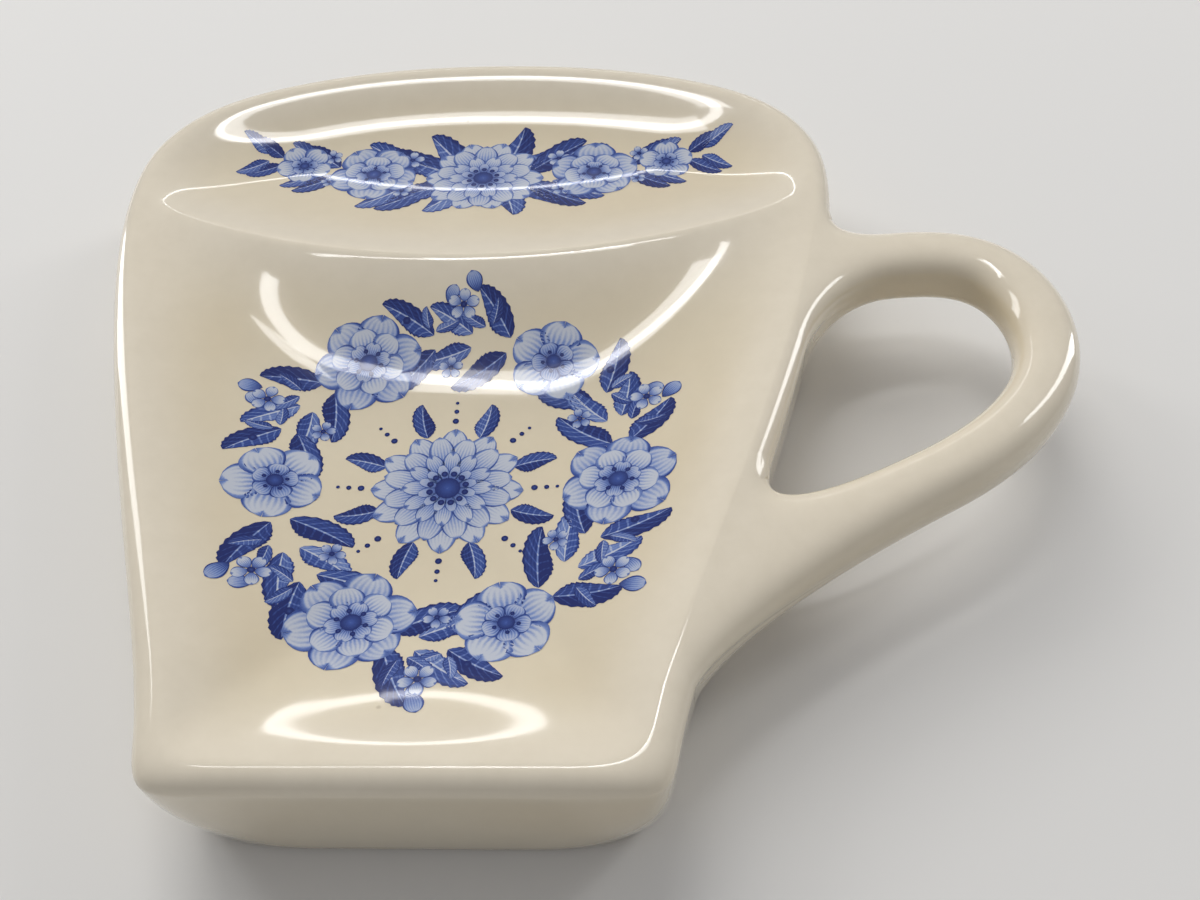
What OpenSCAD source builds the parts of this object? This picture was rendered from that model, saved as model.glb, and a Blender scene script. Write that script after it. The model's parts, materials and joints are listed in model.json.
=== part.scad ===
// A glazed earthenware tea bag rest in the outline of a teacup.
// The dish holds a long well for the bag and, behind a low ridge, the cup's dished mouth.
// A loop handle is luted to the dish with slip, and two printed sprays lie on the top.
// Millimetres, +Z up, +X towards the handle, +Y towards the back of the mouth.
// The origin is on the table, under the middle of the whole part. The shapes are worked out
// about the cup's own middle line, and placed() moves them there.

/* [Dish] */
// Depth of the dish, from the base of the cup shape to the back of its mouth
body_d = 107.2; // [90:0.1:125]
// Width across the mouth at its widest
mouth_w = 89.6; // [80:0.1:100]
// Width of the straight front edge, the base of the cup shape
base_w = 46.6; // [42:0.1:56]
// Distance from the back edge to the widest line of the mouth
mouth_back = 27.7; // [22:0.1:32]
// Radius of the two front corners
corner_r = 3.4; // [2.5:0.1:4.5]
// Height of the rim and of the ridge above the table
rim_h = 16; // [14:0.1:18]
// Radius of the rolled outer edge
rim_r = 2; // [1.5:0.1:3]
// Radius of the front corners along the top of the rim
rim_corner_r = 4.5; // [3.5:0.1:6]
// Thickness of the dish under the well
wall_t = 6.2; // [5:0.1:7]
// Thickness of the dish under the mouth
mouth_wall_t = 8.2; // [6:0.1:9]

/* [Well and mouth] */
// Depth of the well below the rim
well_depth = 5.6; // [4:0.1:6.5]
// Extra dip in the middle of the well's floor
floor_dip = 0.7; // [0:0.1:1]
// Distance from the ridge down to the well's floor
well_slope = 24; // [20:0.5:28]
// Depth of the dished mouth below its edge
mouth_depth = 4.2; // [3:0.1:5]
// Distance from the ridge down to the bottom of the mouth's dish
mouth_slope = 23; // [18:0.5:26]
// Distance from the back rim down to the bottom of the mouth's dish
mouth_rim_slope = 14.5; // [12:0.5:18]
// Distance from the back edge to the crest of the ridge, on the middle line
ridge_back = 41.1; // [36:0.1:46]
// Radius of the ridge's curve, seen from above
ridge_r = 87; // [75:1:110]

/* [Foot] */
// How far the foot stands in from the outer edge
foot_inset = 0.7; // [0.5:0.1:2]
// Radius of the foot's front corners
foot_corner_r = 8.6; // [5:0.1:8.8]
// Width of the ring that the dish stands on
foot_w = 3.2; // [2:0.1:4.5]

/* [Handle] */
// How far the loop stands out past the widest line of the mouth
loop_out = 25.4; // [22:0.1:30]
// Distance from the middle of the loop's top bar down to its lower root
loop_span = 39.2; // [36:0.1:42]
// Distance from the mouth's widest line down to the middle of the top bar
loop_drop = 11.7; // [9:0.1:14]
// Width of the bar at the top of the loop
bar_w = 7.8; // [6:0.1:9]
// Width of the bar where it runs back to the lower root
bar_low_w = 6.5; // [5:0.1:8]
// Thickness of the bar from top to bottom
bar_t = 7; // [5:0.1:8]
// Drop from the rim's top to the bar's top
bar_drop = 0.3; // [0:0.1:1.5]
// Thickness of the slip that lutes each root to the dish
slip_t = 0.35; // [0.2:0.05:0.6]

/* [Prints] */
// Width of the spray printed in the well
spray_w = 48; // [36:1:52]
// Length of the spray printed in the well
spray_l = 52; // [40:1:56]
// Distance from the front edge to the middle of the well's spray
spray_front = 36; // [34:0.5:40]
// Width of the garland printed in the mouth
garland_w = 60; // [44:1:64]
// Distance from the back edge to the middle of the garland
garland_back = 20; // [17:0.5:24]
// Thickness of each print
print_t = 0.12; // [0.08:0.01:0.2]
// Gap kept under each print
print_gap = 0.1; // [0.05:0.01:0.15]

/* [Hidden] */

// Rays drawn for each control point of the outline
ray_step = 4;
// Rings from the middle to the ridge, from the ridge to the rim, round the rolled edge and down the wall
inner_rings = 10;
band_rings = 14;
roll_rings = 4;
wall_rings = 4;
under_rings = 5;
quarter_turn = 90;

front_y = -body_d / 2;
back_y = body_d / 2;
mouth_y = back_y - mouth_back;
ridge_y = back_y - ridge_back;
wall_h = rim_h - rim_r;

// The outline's control points on the right: across the front, round the corner as shares of
// its radius, up the side as shares of the flare, and round the back as shares of the mouth
front_shares = [0.2];
corner_shares = [[-1.8, 0], [0, 0], [0.15, 1.5]];
side_shares = [[0.145, 0.175], [0.345, 0.325], [0.535, 0.475], [0.71, 0.625], [0.865, 0.775], [0.97, 0.91]];
back_shares = [[1.005, 0.13], [0.975, 0.4], [0.855, 0.68], [0.61, 0.865], [0.31, 0.975]];

function flat(lists) = [for (list = lists) each list];
function mirrored(points) = [for (i = [len(points) - 1:-1:0]) [-points[i].x, points[i].y]];
function mix(a, b, t) = a + (b - a) * t;
function limited(t) = min(1, max(0, t));
function eased(t) = let (u = limited(t)) u * u * (3 - 2 * u);

// Cubic B-spline weights of four neighbouring points
function spline_point(a, b, c, d, f) =
    ((1 - f)^3 * a + (3 * f^3 - 6 * f^2 + 4) * b + (-3 * f^3 + 3 * f^2 + 3 * f + 1) * c + f^3 * d) / 6;

function closed_spline(points, t) =
    let (n = len(points), i = floor(t))
    spline_point(points[(i + n - 1) % n], points[i % n], points[(i + 1) % n], points[(i + 2) % n], t - i);

// Control points of the cup's outline, drawn in by an inset and with its own corner radius
function outline_points(inset, corner) =
    let (
        half_base = base_w / 2 - inset,
        half_mouth = mouth_w / 2 - inset,
        front = front_y + inset,
        back = back_y - inset,
        right = concat(
            [for (share = front_shares) [half_base * share, front]],
            [for (share = corner_shares) [half_base + share.x * corner, front + share.y * corner]],
            [for (share = side_shares)
                [mix(half_base, half_mouth, share.x), mix(front, mouth_y, share.y)]],
            [for (share = back_shares) [half_mouth * share.x, mix(mouth_y, back, share.y)]]
        )
    )
    concat([[0, front]], right, [[0, back]], mirrored(right));

function outline(inset, corner) =
    let (points = outline_points(inset, corner))
    [for (i = [0:len(points) * ray_step - 1]) closed_spline(points, i / ray_step)];

edge = outline(0, corner_r);
rim = outline(rim_r, rim_corner_r);
foot = outline(foot_inset, foot_corner_r);
foot_inside = outline(foot_inset + foot_w, foot_corner_r);
rays = len(edge);

// The point in the well that the rays leave from, a share of the way from the front edge
pole_share = 0.31;
pole = [0, mix(front_y, back_y, pole_share)];

// The rim's distance from the pole, by direction
function direction(v) = let (a = atan2(v.y, v.x)) a < -quarter_turn ? a + 4 * quarter_turn : a;
rim_reach = concat(
    [for (p = rim) [direction(p - pole), norm(p - pole)]],
    [[3 * quarter_turn, norm(rim[0] - pole)]]
);

// A slope that leaves its crest over a share of its run and settles into the floor
mouth_crest_share = 0.22;
ridge_crest_share = 0.08;
well_crest_share = 0.05;
function slope(t, crest) =
    let (u = limited(t), s = (1 + crest) * u * u / (u + crest)) 1 - (1 - s)^2;

// Distance past the ridge's crest: above 0 in the mouth and below 0 in the well
function past_ridge(p) = ridge_r - norm(p - [0, ridge_y + ridge_r]);

// Distance from the pole to the ridge or the rim, whichever comes first in a direction
ridge_run = ridge_y + ridge_r - pole.y;
function well_reach(v) =
    let (
        reach = lookup(direction(v), rim_reach),
        back = ridge_run * v.y / norm(v),
        square = back^2 - ridge_run^2 + ridge_r^2
    )
    back > 0 && square > 0 ? min(reach, back - sqrt(square)) : reach;

// How far out a place lies, from 0 at the pole to 1 on the rim
function out_share(v) = v == [0, 0] ? 0 : limited(norm(v) / lookup(direction(v), rim_reach));

// How far down the well's slope a place lies, from 0 on the rim to 1 on the floor.
// The slope runs longer at the front than at the sides, and the front corners are eased
corner_ease_share = 0.14;
side_run_share = 0.8;
front_run_share = 0.85;
function down_share(v, out) =
    let (
        front = v.y < 0 ? v.y^2 / (v * v) : 0,
        corner = 4 * front * (1 - front),
        eased_out = out * (1 + corner_ease_share * corner * (1 - out))
    )
    (1 - eased_out) / mix(side_run_share, front_run_share, front);

// Height of the top face at any place inside the rim
mouth_rim_slope_share = mouth_rim_slope / (back_y - rim_r - pole.y);
function top_z(p) =
    let (v = p - pole, past = past_ridge(p), out = out_share(v))
    rim_h - (past > 0 ? mouth_fall(past, out) : well_fall(-past, out, down_share(v, out)));
function mouth_fall(past, out) =
    mouth_depth
        * slope((1 - out) / mouth_rim_slope_share, mouth_crest_share)
        * slope(past / mouth_slope, ridge_crest_share);
function well_fall(before, out, down) =
    slope(down, well_crest_share)
        * slope(before / well_slope, ridge_crest_share)
        * (well_depth + floor_dip * (1 - out^2));

// Where each ray turns: on the ridge behind the well, and inside the rim elsewhere
turn_share = 0.27;
ridge_fade_share = 0.33;
turn = [for (p = rim)
    let (
        way = (p - pole) / norm(p - pole),
        crest = pole + well_reach(way) * way,
        share = eased((p.y - crest.y) / (mouth_back * ridge_fade_share))
    )
    mix(mix(p, pole, turn_share), crest, share)];

function on_top(points) = [for (p = points) [p.x, p.y, top_z(p)]];
function between(from, to, t) = [for (i = [0:rays - 1]) mix(from[i], to[i], t)];
function at_height(points, z) = [for (p = points) [p.x, p.y, z]];
at_pole = [for (i = [0:rays - 1]) pole];

// The dish's rings: out over the well and the mouth, round the edge, down the wall and in beneath.
// The powers crowd rings towards an edge or bow the wall, and under_share is how much of the way
// in the hollow below takes to reach its full height
inner_power = 0.75;
wall_power = 2.2;
under_power = 1.5;
under_share = 0.16;
under_turn_share = 0.5;
band_crowd_share = 0.08;
function band_share(t) = t - band_crowd_share * sin(360 * t);
function roll_ring(a) = at_height(between(rim, edge, sin(a)), wall_h + rim_r * cos(a));
function wall_ring(t) = at_height(between(edge, foot, t^wall_power), wall_h * (1 - t));
under_well = rim_h - well_depth - floor_dip - wall_t;
under_mouth = rim_h - mouth_depth - mouth_wall_t;
function under_z(p, t) =
    let (under_mouth_share = eased(past_ridge(p) / mouth_slope + under_turn_share))
    slope(t / under_share, mouth_crest_share) * mix(under_well, under_mouth, under_mouth_share);

top_rings = concat(
    [for (i = [1:inner_rings]) on_top(between(at_pole, turn, (i / inner_rings)^inner_power))],
    [for (i = [1:band_rings - 1]) on_top(between(turn, rim, band_share(i / band_rings)))]
);
roll_and_wall = concat(
    [for (i = [0:roll_rings]) roll_ring(quarter_turn * i / roll_rings)],
    [for (i = [1:wall_rings]) wall_ring(i / wall_rings)]
);
bottom_rings = concat(
    [at_height(foot_inside, 0)],
    [for (i = [1:under_rings - 1])
        let (t = (i / under_rings)^under_power)
        [for (p = between(foot_inside, at_pole, t)) [p.x, p.y, under_z(p, t)]]]
);

// Two triangles on a square of four corners, named in turn clockwise as seen from outside
function two(a, b, c, d) = [[a, b, c], [a, c, d]];

module dish() {
    rings = concat(top_rings, roll_and_wall, bottom_rings);
    first = [pole.x, pole.y, top_z(pole)];
    last = [pole.x, pole.y, under_z(pole, 1)];
    count = len(rings);
    end = 1 + count * rays;
    side = flat([for (r = [0:count - 2]) flat([for (i = [0:rays - 1])
        let (j = (i + 1) % rays, a = 1 + r * rays, b = a + rays)
        two(a + i, a + j, b + j, b + i)])]);
    lid = [for (i = [0:rays - 1]) [0, 1 + (i + 1) % rays, 1 + i]];
    floor_fan = [for (i = [0:rays - 1]) [end, end - rays + i, end - rays + (i + 1) % rays]];
    color("ivory")
        placed()
            polyhedron(points = concat([first], flat(rings), [last]), faces = concat(lid, side, floor_fan));
}

// Each root covers a patch of the rolled edge and the wall, from its first ray on and from just
// below the rim's top down
upper_root_ray_count = 34;
lower_root_ray_count = 21;
root_ray_count = 7;
root_first_ring_count = 1;
root_ring_count = 5;

// The dish's outer face at one ray and ring, moved out by a distance
function plan_normal(i) =
    let (v = edge[(i + 1) % rays] - edge[(i + rays - 1) % rays]) [v.y, -v.x] / norm(v);
function wall_normal(i, ring) =
    let (a = quarter_turn * min(1, ring / roll_rings), n = plan_normal(i))
    [n.x * sin(a), n.y * sin(a), cos(a)];
function wall_patch(root, out) =
    [for (r = [root_first_ring_count:root_first_ring_count + root_ring_count])
        [for (k = [0:root_ray_count])
            let (i = root + k) roll_and_wall[r][i] + out * wall_normal(i, r)]];
function turned(grid) = [for (row = grid) [for (k = [len(row) - 1:-1:0]) row[k]]];

// A closed slab between two grids of points, the first being the outer one
function slab_mesh(outer, inner) =
    let (
        rows = len(outer),
        columns = len(outer[0]),
        n = rows * columns,
        squares = [for (r = [0:rows - 2]) for (k = [0:columns - 2]) r * columns + k],
        loop = concat(
            [for (k = [0:columns - 2]) k],
            [for (r = [0:rows - 2]) r * columns + columns - 1],
            [for (k = [columns - 1:-1:1]) (rows - 1) * columns + k],
            [for (r = [rows - 1:-1:1]) r * columns]
        ),
        outside = flat([for (a = squares) two(a, a + 1, a + columns + 1, a + columns)]),
        inside = [for (f = outside) [f[0] + n, f[2] + n, f[1] + n]],
        rim_faces = flat([for (i = [0:len(loop) - 1])
            let (p = loop[i], q = loop[(i + 1) % len(loop)]) two(p, p + n, q + n, q)])
    )
    [concat(flat(outer), flat(inner)), concat(outside, inside, rim_faces)];

module shell(mesh) {
    placed() polyhedron(points = mesh[0], faces = mesh[1]);
}

module slip_joint(root) {
    color("antiquewhite") shell(slab_mesh(wall_patch(root, slip_t), wall_patch(root, 0)));
}

module upper_slip_joint() {
    slip_joint(upper_root_ray_count);
}

module lower_slip_joint() {
    slip_joint(lower_root_ray_count);
}

// The loop's middle line: shares of its reach and span, from the upper root to the lower one
path_shares = [[0.165, 0.015], [0.4, -0.005], [0.64, 0.02], [0.8, 0.133], [0.866, 0.298],
    [0.82, 0.49], [0.64, 0.663], [0.38, 0.796], [0.087, 0.903]];
upper_mid = edge[upper_root_ray_count + ceil(root_ray_count / 2)];
lower_mid = edge[lower_root_ray_count + floor(root_ray_count / 2)];
upper_normal = plan_normal(upper_root_ray_count + ceil(root_ray_count / 2));
lower_normal = plan_normal(lower_root_ray_count + floor(root_ray_count / 2));
path_points = concat([upper_mid], [for (share = path_shares)
    [mouth_w / 2 + share.x * loop_out, mouth_y - loop_drop - share.y * loop_span]], [lower_mid]);
path_end = len(path_points) - 1;
path_control = concat([2 * path_points[0] - path_points[1]], path_points,
    [2 * path_points[path_end] - path_points[path_end - 1]]);
function path_at(t) =
    let (i = min(path_end - 1, floor(t)))
    spline_point(path_control[i], path_control[i + 1], path_control[i + 2],
        path_control[min(path_end + 2, i + 3)], t - i);
path_nudge_share = 0.001;
function path_way(t) =
    let (
        nudge = path_nudge_share * path_end,
        v = path_at(min(path_end, t + nudge)) - path_at(max(0, t - nudge))
    )
    v / norm(v);

// The bar's section is a rounded square, with one point for each edge point of a root's patch
section_power = 2.5;
section = concat(
    [for (k = [0:root_ray_count - 1]) [k, 0]],
    [for (r = [0:root_ring_count - 1]) [root_ray_count, r]],
    [for (k = [root_ray_count:-1:1]) [k, root_ring_count]],
    [for (r = [root_ring_count:-1:1]) [0, r]]
);
function section_place(place) =
    let (p = [2 * place.x / root_ray_count - 1, 1 - 2 * place.y / root_ring_count])
    p / (abs(p.x)^section_power + abs(p.y)^section_power)^(1 / section_power);

bar_z = rim_h - bar_drop - bar_t / 2;
function bar_ring(t) =
    let (
        middle = path_at(t),
        way = path_way(t),
        half = mix(bar_w, bar_low_w, eased(t / path_end)) / 2
    )
    [for (place = section)
        let (s = section_place(place))
        [middle.x - way.y * half * s.x, middle.y + way.x * half * s.x, bar_z + bar_t / 2 * s.y]];

// A root flares from its patch to the bar. The bar's own section is first run on, along the
// bar, to the wall, and pulls the flare's curve towards it
function run_on(ring, way, wall, normal) =
    [for (p = ring)
        let (
            gap = (p.x - wall.x) * normal.x + (p.y - wall.y) * normal.y - slip_t,
            run = gap / (way * normal)
        )
        [p.x - way.x * run, p.y - way.y * run, p.z]];
function patch_edge(grid) = [for (place = section) grid[place.y][place.x]];
function flare(from, pull, to, t) =
    [for (i = [0:len(from) - 1]) (1 - t)^2 * from[i] + 2 * t * (1 - t) * pull[i] + t^2 * to[i]];

flare_rings = 5;
flare_share = 0.15;
flare_end = flare_share * path_end;
bar_rings = 24;
bar = [for (i = [0:bar_rings]) bar_ring(mix(flare_end, path_end - flare_end, i / bar_rings))];

// The middle of the whole part's box, seen from above, which goes to the origin
reach_x = concat([for (p = edge) p.x], [for (p = flat(bar)) p.x]);
reach_y = [for (p = edge) p.y];
middle = [(min(reach_x) + max(reach_x)) / 2, (min(reach_y) + max(reach_y)) / 2, 0];
module placed() {
    translate(-middle) children();
}

module handle() {
    upper_grid = wall_patch(upper_root_ray_count, slip_t);
    lower_grid = turned(wall_patch(lower_root_ray_count, slip_t));
    upper_pull = run_on(bar_ring(0), path_way(0), upper_mid, upper_normal);
    lower_pull = run_on(bar_ring(path_end), path_way(path_end), lower_mid, lower_normal);
    rings = concat(
        [for (i = [0:flare_rings - 1])
            flare(patch_edge(upper_grid), upper_pull, bar[0], i / flare_rings)],
        bar,
        [for (i = [flare_rings - 1:-1:0])
            flare(patch_edge(lower_grid), lower_pull, bar[bar_rings], i / flare_rings)]
    );
    n = len(section);
    last_ring = (len(rings) - 1) * n;
    cap_points = (root_ray_count - 1) * (root_ring_count - 1);
    upper_cap = len(rings) * n;
    lower_cap = upper_cap + cap_points;
    function edge_index(k, r) =
        r == 0 ? k
        : k == root_ray_count ? root_ray_count + r
        : r == root_ring_count ? 2 * root_ray_count + root_ring_count - k
        : 2 * (root_ray_count + root_ring_count) - r;
    function on_edge(k, r) = r == 0 || r == root_ring_count || k == 0 || k == root_ray_count;
    function cap_index(k, r, ring, cap) =
        on_edge(k, r) ? ring + edge_index(k, r) : cap + (r - 1) * (root_ray_count - 1) + k - 1;
    function inner_points(grid) =
        [for (r = [1:root_ring_count - 1]) for (k = [1:root_ray_count - 1]) grid[r][k]];
    side = flat([for (m = [0:len(rings) - 2]) flat([for (i = [0:n - 1])
        let (j = (i + 1) % n, a = m * n, b = a + n) two(a + i, a + j, b + j, b + i)])]);
    upper_faces = flat([for (r = [0:root_ring_count - 1]) flat([for (k = [0:root_ray_count - 1])
        let (
            a = cap_index(k, r, 0, upper_cap),
            b = cap_index(k + 1, r, 0, upper_cap),
            c = cap_index(k + 1, r + 1, 0, upper_cap),
            d = cap_index(k, r + 1, 0, upper_cap)
        )
        two(a, d, c, b)])]);
    lower_faces = flat([for (r = [0:root_ring_count - 1]) flat([for (k = [0:root_ray_count - 1])
        let (
            a = cap_index(k, r, last_ring, lower_cap),
            b = cap_index(k + 1, r, last_ring, lower_cap),
            c = cap_index(k + 1, r + 1, last_ring, lower_cap),
            d = cap_index(k, r + 1, last_ring, lower_cap)
        )
        two(d, a, b, c)])]);
    color("ivory")
        placed()
            polyhedron(
                points = concat(flat(rings), inner_points(upper_grid), inner_points(lower_grid)),
                faces = concat(side, upper_faces, lower_faces)
            );
}

// Many separate shells as one list of points and faces
function joined(meshes) =
    let (starts = [for (i = 0, n = 0; i < len(meshes); n = n + len(meshes[i][0]), i = i + 1) n])
    [
        flat([for (mesh = meshes) mesh[0]]),
        flat([for (i = [0:len(meshes) - 1]) [for (f = meshes[i][1]) f + starts[i] * [1, 1, 1]]])
    ];

// A leaf or petal lying on the dish, from its base, with its ends a little blunt
blade_steps = 3;
blunt_share = 0.14;
blade_power = 0.8;
function blade(base, angle, length, width, bend) =
    let (
        rows = [for (i = [0:blade_steps])
            let (
                t = i / blade_steps,
                way = [cos(angle + bend * t), sin(angle + bend * t)],
                half = width / 2 * max(blunt_share, sin(2 * quarter_turn * t^blade_power)),
                middle = base + length * t * way,
                across = half * [-way.y, way.x]
            )
            [middle - across, middle, middle + across]]
    )
    slab_mesh(lifted(rows, print_gap + print_t), lifted(rows, print_gap));
function lifted(rows, up) = [for (row = rows) [for (p = row) [p.x, p.y, top_z(p) + up]]];

// A flower: a ring of petals round a small centre, which is a short wide blade. The shares are
// of the flower's radius, and a petal's width is one of the radius over the number of petals
petal_start_share = 0.34;
petal_w_share = 3;
centre_share = 0.44;
function flower(middle, radius, petals, turn_by) =
    concat(
        [for (i = [0:petals - 1])
            let (a = turn_by + 360 * i / petals)
            blade(middle + radius * petal_start_share * [cos(a), sin(a)], a,
                radius * (1 - petal_start_share), radius * petal_w_share / petals, 0)],
        [blade(middle - radius * centre_share / 2 * [1, 0], 0,
            radius * centre_share, radius * centre_share, 0)]
    );

// Two leaves that leave a stem at one place, one on each side of it
leaf_lean = 38;
leaf_bend = 22;
pair_apart_share = 0.35;
function leaf_pair(base, way, length, width) =
    [for (side = [-1, 1])
        blade(base + side * pair_apart_share * width * [-sin(way), cos(way)],
            way + side * leaf_lean, length, width, -side * leaf_bend)];

// The well's print: blossoms stand round an egg-shaped wreath, pairs of leaves fill the gaps
// between them, and a daisy in a ring of small leaves stands in the middle
wreath_blossoms = 6;
wreath_petals = 6;
wreath_leaf_place_shares = [0.325, 0.575];
wreath_share = 0.76;
wreath_egg_share = 0.2;
blossom_shares = [0.12, 0.095];
wreath_leaf_shares = [0.115, 0.058];
daisy_share = 0.17;
daisy_petals = 12;
daisy_leaves = 8;
daisy_leaf_start_share = 1.12;
daisy_leaf_shares = [0.08, 0.045];
spray_middle = [0, front_y + spray_front];
function wreath_at(a) =
    spray_middle + wreath_share / 2 *
        [spray_w * cos(a) * (1 + wreath_egg_share * sin(a)), spray_l * sin(a)];
function wreath_way(a) = direction(wreath_at(a + 1) - wreath_at(a - 1));

module well_print() {
    step = 360 / wreath_blossoms;
    blossoms = flat([for (i = [0:wreath_blossoms - 1])
        flower(wreath_at(i * step), spray_w * blossom_shares[i % 2], wreath_petals, i * step)]);
    leaves = flat([for (i = [0:wreath_blossoms - 1]) for (share = wreath_leaf_place_shares)
        let (a = (i + share) * step, size = spray_w * wreath_leaf_shares)
        leaf_pair(wreath_at(a), wreath_way(a), size.x, size.y)]);
    daisy_r = spray_w * daisy_share;
    daisy = flower(spray_middle, daisy_r, daisy_petals, 0);
    ring = [for (i = [0:daisy_leaves - 1])
        let (a = 360 * (i + 0.5) / daisy_leaves, size = spray_w * daisy_leaf_shares)
        blade(spray_middle + daisy_r * daisy_leaf_start_share * [cos(a), sin(a)], a,
            size.x, size.y, 0)];
    color("royalblue") shell(joined(concat(blossoms, leaves, daisy, ring)));
}

// The mouth's print: a garland with a daisy in the middle, two blossoms on each side, and
// pairs of leaves that grow smaller towards its ends
garland_daisy_share = 0.13;
garland_daisy_petals = 10;
garland_blossom_shares = [[0.255, 0.085], [0.41, 0.055]];
garland_blossom_petals = 5;
garland_leaf_place_shares = [0.14, 0.34, 0.46];
garland_leaf_shares = [0.14, 0.06];
garland_taper_share = 0.55;
garland_sag_share = 0.07;
garland_lift_share = 0.33;
garland_middle = [0, back_y - garland_back];
function garland_at(share) =
    garland_middle + garland_w * [share, garland_sag_share * (4 * share^2 - garland_lift_share)];

module mouth_print() {
    daisy = flower(garland_at(0), garland_w * garland_daisy_share, garland_daisy_petals, 0);
    blossoms = flat([for (side = [-1, 1]) for (share = garland_blossom_shares)
        flower(garland_at(side * share[0]), garland_w * share[1], garland_blossom_petals,
            quarter_turn * side)]);
    leaves = flat([for (side = [-1, 1]) for (share = garland_leaf_place_shares)
        let (size = garland_w * (1 - garland_taper_share * 2 * share) * garland_leaf_shares)
        leaf_pair(garland_at(side * share), quarter_turn * (1 - side), size.x, size.y)]);
    color("royalblue") shell(joined(concat(daisy, blossoms, leaves)));
}

dish();
handle();
upper_slip_joint();
lower_slip_joint();
well_print();
mouth_print();
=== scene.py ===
"""A glazed earthenware tea bag rest in the outline of a teacup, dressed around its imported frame."""

import json
import math

import bpy
import numpy as np
from bpy.props import FloatProperty, FloatVectorProperty, IntProperty, PointerProperty
from mathutils import Matrix, Vector

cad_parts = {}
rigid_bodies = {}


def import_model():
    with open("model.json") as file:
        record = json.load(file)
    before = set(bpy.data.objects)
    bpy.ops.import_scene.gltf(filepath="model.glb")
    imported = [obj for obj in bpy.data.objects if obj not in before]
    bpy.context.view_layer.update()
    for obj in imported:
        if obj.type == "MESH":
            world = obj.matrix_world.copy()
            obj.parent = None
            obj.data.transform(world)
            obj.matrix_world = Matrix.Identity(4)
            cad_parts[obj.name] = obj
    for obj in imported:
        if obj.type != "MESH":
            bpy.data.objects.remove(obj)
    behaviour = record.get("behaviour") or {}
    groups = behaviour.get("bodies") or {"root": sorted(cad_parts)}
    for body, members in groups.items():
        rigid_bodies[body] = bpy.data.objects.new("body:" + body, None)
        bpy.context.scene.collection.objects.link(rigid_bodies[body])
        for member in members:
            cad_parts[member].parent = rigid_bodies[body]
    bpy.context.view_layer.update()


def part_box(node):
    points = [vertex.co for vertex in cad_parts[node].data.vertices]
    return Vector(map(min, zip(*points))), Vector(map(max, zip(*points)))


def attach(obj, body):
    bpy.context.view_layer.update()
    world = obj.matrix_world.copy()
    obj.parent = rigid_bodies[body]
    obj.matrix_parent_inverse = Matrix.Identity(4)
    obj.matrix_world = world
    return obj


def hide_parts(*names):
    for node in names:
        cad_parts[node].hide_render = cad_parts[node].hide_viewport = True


bl_info = {
    "name": "Tea bag rest",
    "version": (1, 0, 0),
    "blender": (4, 5, 0),
    "location": "View3D > Sidebar > Tea bag rest",
    "description": "Makes a glazed tea bag rest with a loop handle and printed flowers",
    "category": "Object",
}

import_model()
DISH_LOW, DISH_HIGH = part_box("dish")
BODY = "root"

# How finely the glazed pieces are cut
RAYS = 384
INNER_RINGS = 48
BAND_RINGS = 56
ROLL_RINGS = 14
WALL_RINGS = 18
FOOT_EDGE_RINGS = 4
UNDER_RINGS = 16
SECTION_POINTS = 96
CAP_RINGS = 8
FLARE_RINGS = 20
BAR_RINGS = 110

# The outline's control points on the right, as shares of the sizes that they follow
FRONT_SHARES = (0.2,)
CORNER_SHARES = ((-1.8, 0.0), (0.0, 0.0), (0.15, 1.5))
SIDE_SHARES = ((0.145, 0.175), (0.345, 0.325), (0.535, 0.475), (0.71, 0.625), (0.865, 0.775), (0.97, 0.91))
BACK_SHARES = ((1.005, 0.13), (0.975, 0.4), (0.855, 0.68), (0.61, 0.865), (0.31, 0.975))

# Where the rings gather and how the slopes run, as in the frame's own solid, but for the ridge's
# crest, which is a little sharper here
POLE_SHARE = 0.31
TURN_SHARE = 0.27
RIDGE_FADE_SHARE = 0.33
WELL_CREST_SHARE = 0.05
MOUTH_CREST_SHARE = 0.22
RIDGE_CREST_SHARE = 0.035
SIDE_RUN_SHARE = 0.8
FRONT_RUN_SHARE = 0.85
CORNER_EASE_SHARE = 0.14
INNER_POWER = 0.75
BAND_CROWD_SHARE = 0.08
WALL_POWER = 2.2
UNDER_POWER = 1.5
UNDER_SHARE = 0.16
UNDER_TURN_SHARE = 0.5
RIM_SAMPLES = 4096
OUT_OF_REACH = 1.0
NEAR_ZERO = 1e-9
OUTLINE_NUDGE = 0.001

# The loop's middle line, as shares of its reach and span, and its two roots on the outline,
# counted in control points
PATH_SHARES = ((0.165, 0.015), (0.4, -0.005), (0.64, 0.02), (0.8, 0.133), (0.866, 0.298),
               (0.82, 0.49), (0.64, 0.663), (0.38, 0.796), (0.087, 0.903))
UPPER_START = 9.5
LOWER_START = 6.0
LOOP_NUDGE = 0.01

# A root: where its middle lies, which way the outline runs, and its reach inside and outside the
# loop. Its rings run from ROOT_TOP to ROOT_LOW down the outer face, on CupPlan.side's drop
UPPER_ROOT = (9.5, 1, 1.35, 0.8)
LOWER_ROOT = (6.05, -1, 0.8, 1.5)
ROOT_TOP = 0.03
ROOT_MIDDLE = 0.85
ROOT_LOW = 1.62
ROOT_POWER = 4.0
SECTION_POWER = 2.5
FLARE_SHARES = (0.13, 0.16)
FLARE_POWER = 1.3
NEAR_PULL_SHARE = 0.6
FAR_PULL_SHARES = (0.85, 0.6)
FAR_PULL_REACH = 0.7
SKIN = 0.000008
SLIP_COVER_SHARE = 0.72
SLIP_EDGE_SHARE = 0.2
SHARP_ANGLE = math.radians(60)


def shared_name(name):
    """Name that this object's own materials, trees and meshes carry."""
    return f"tea_rest_{name}"


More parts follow.
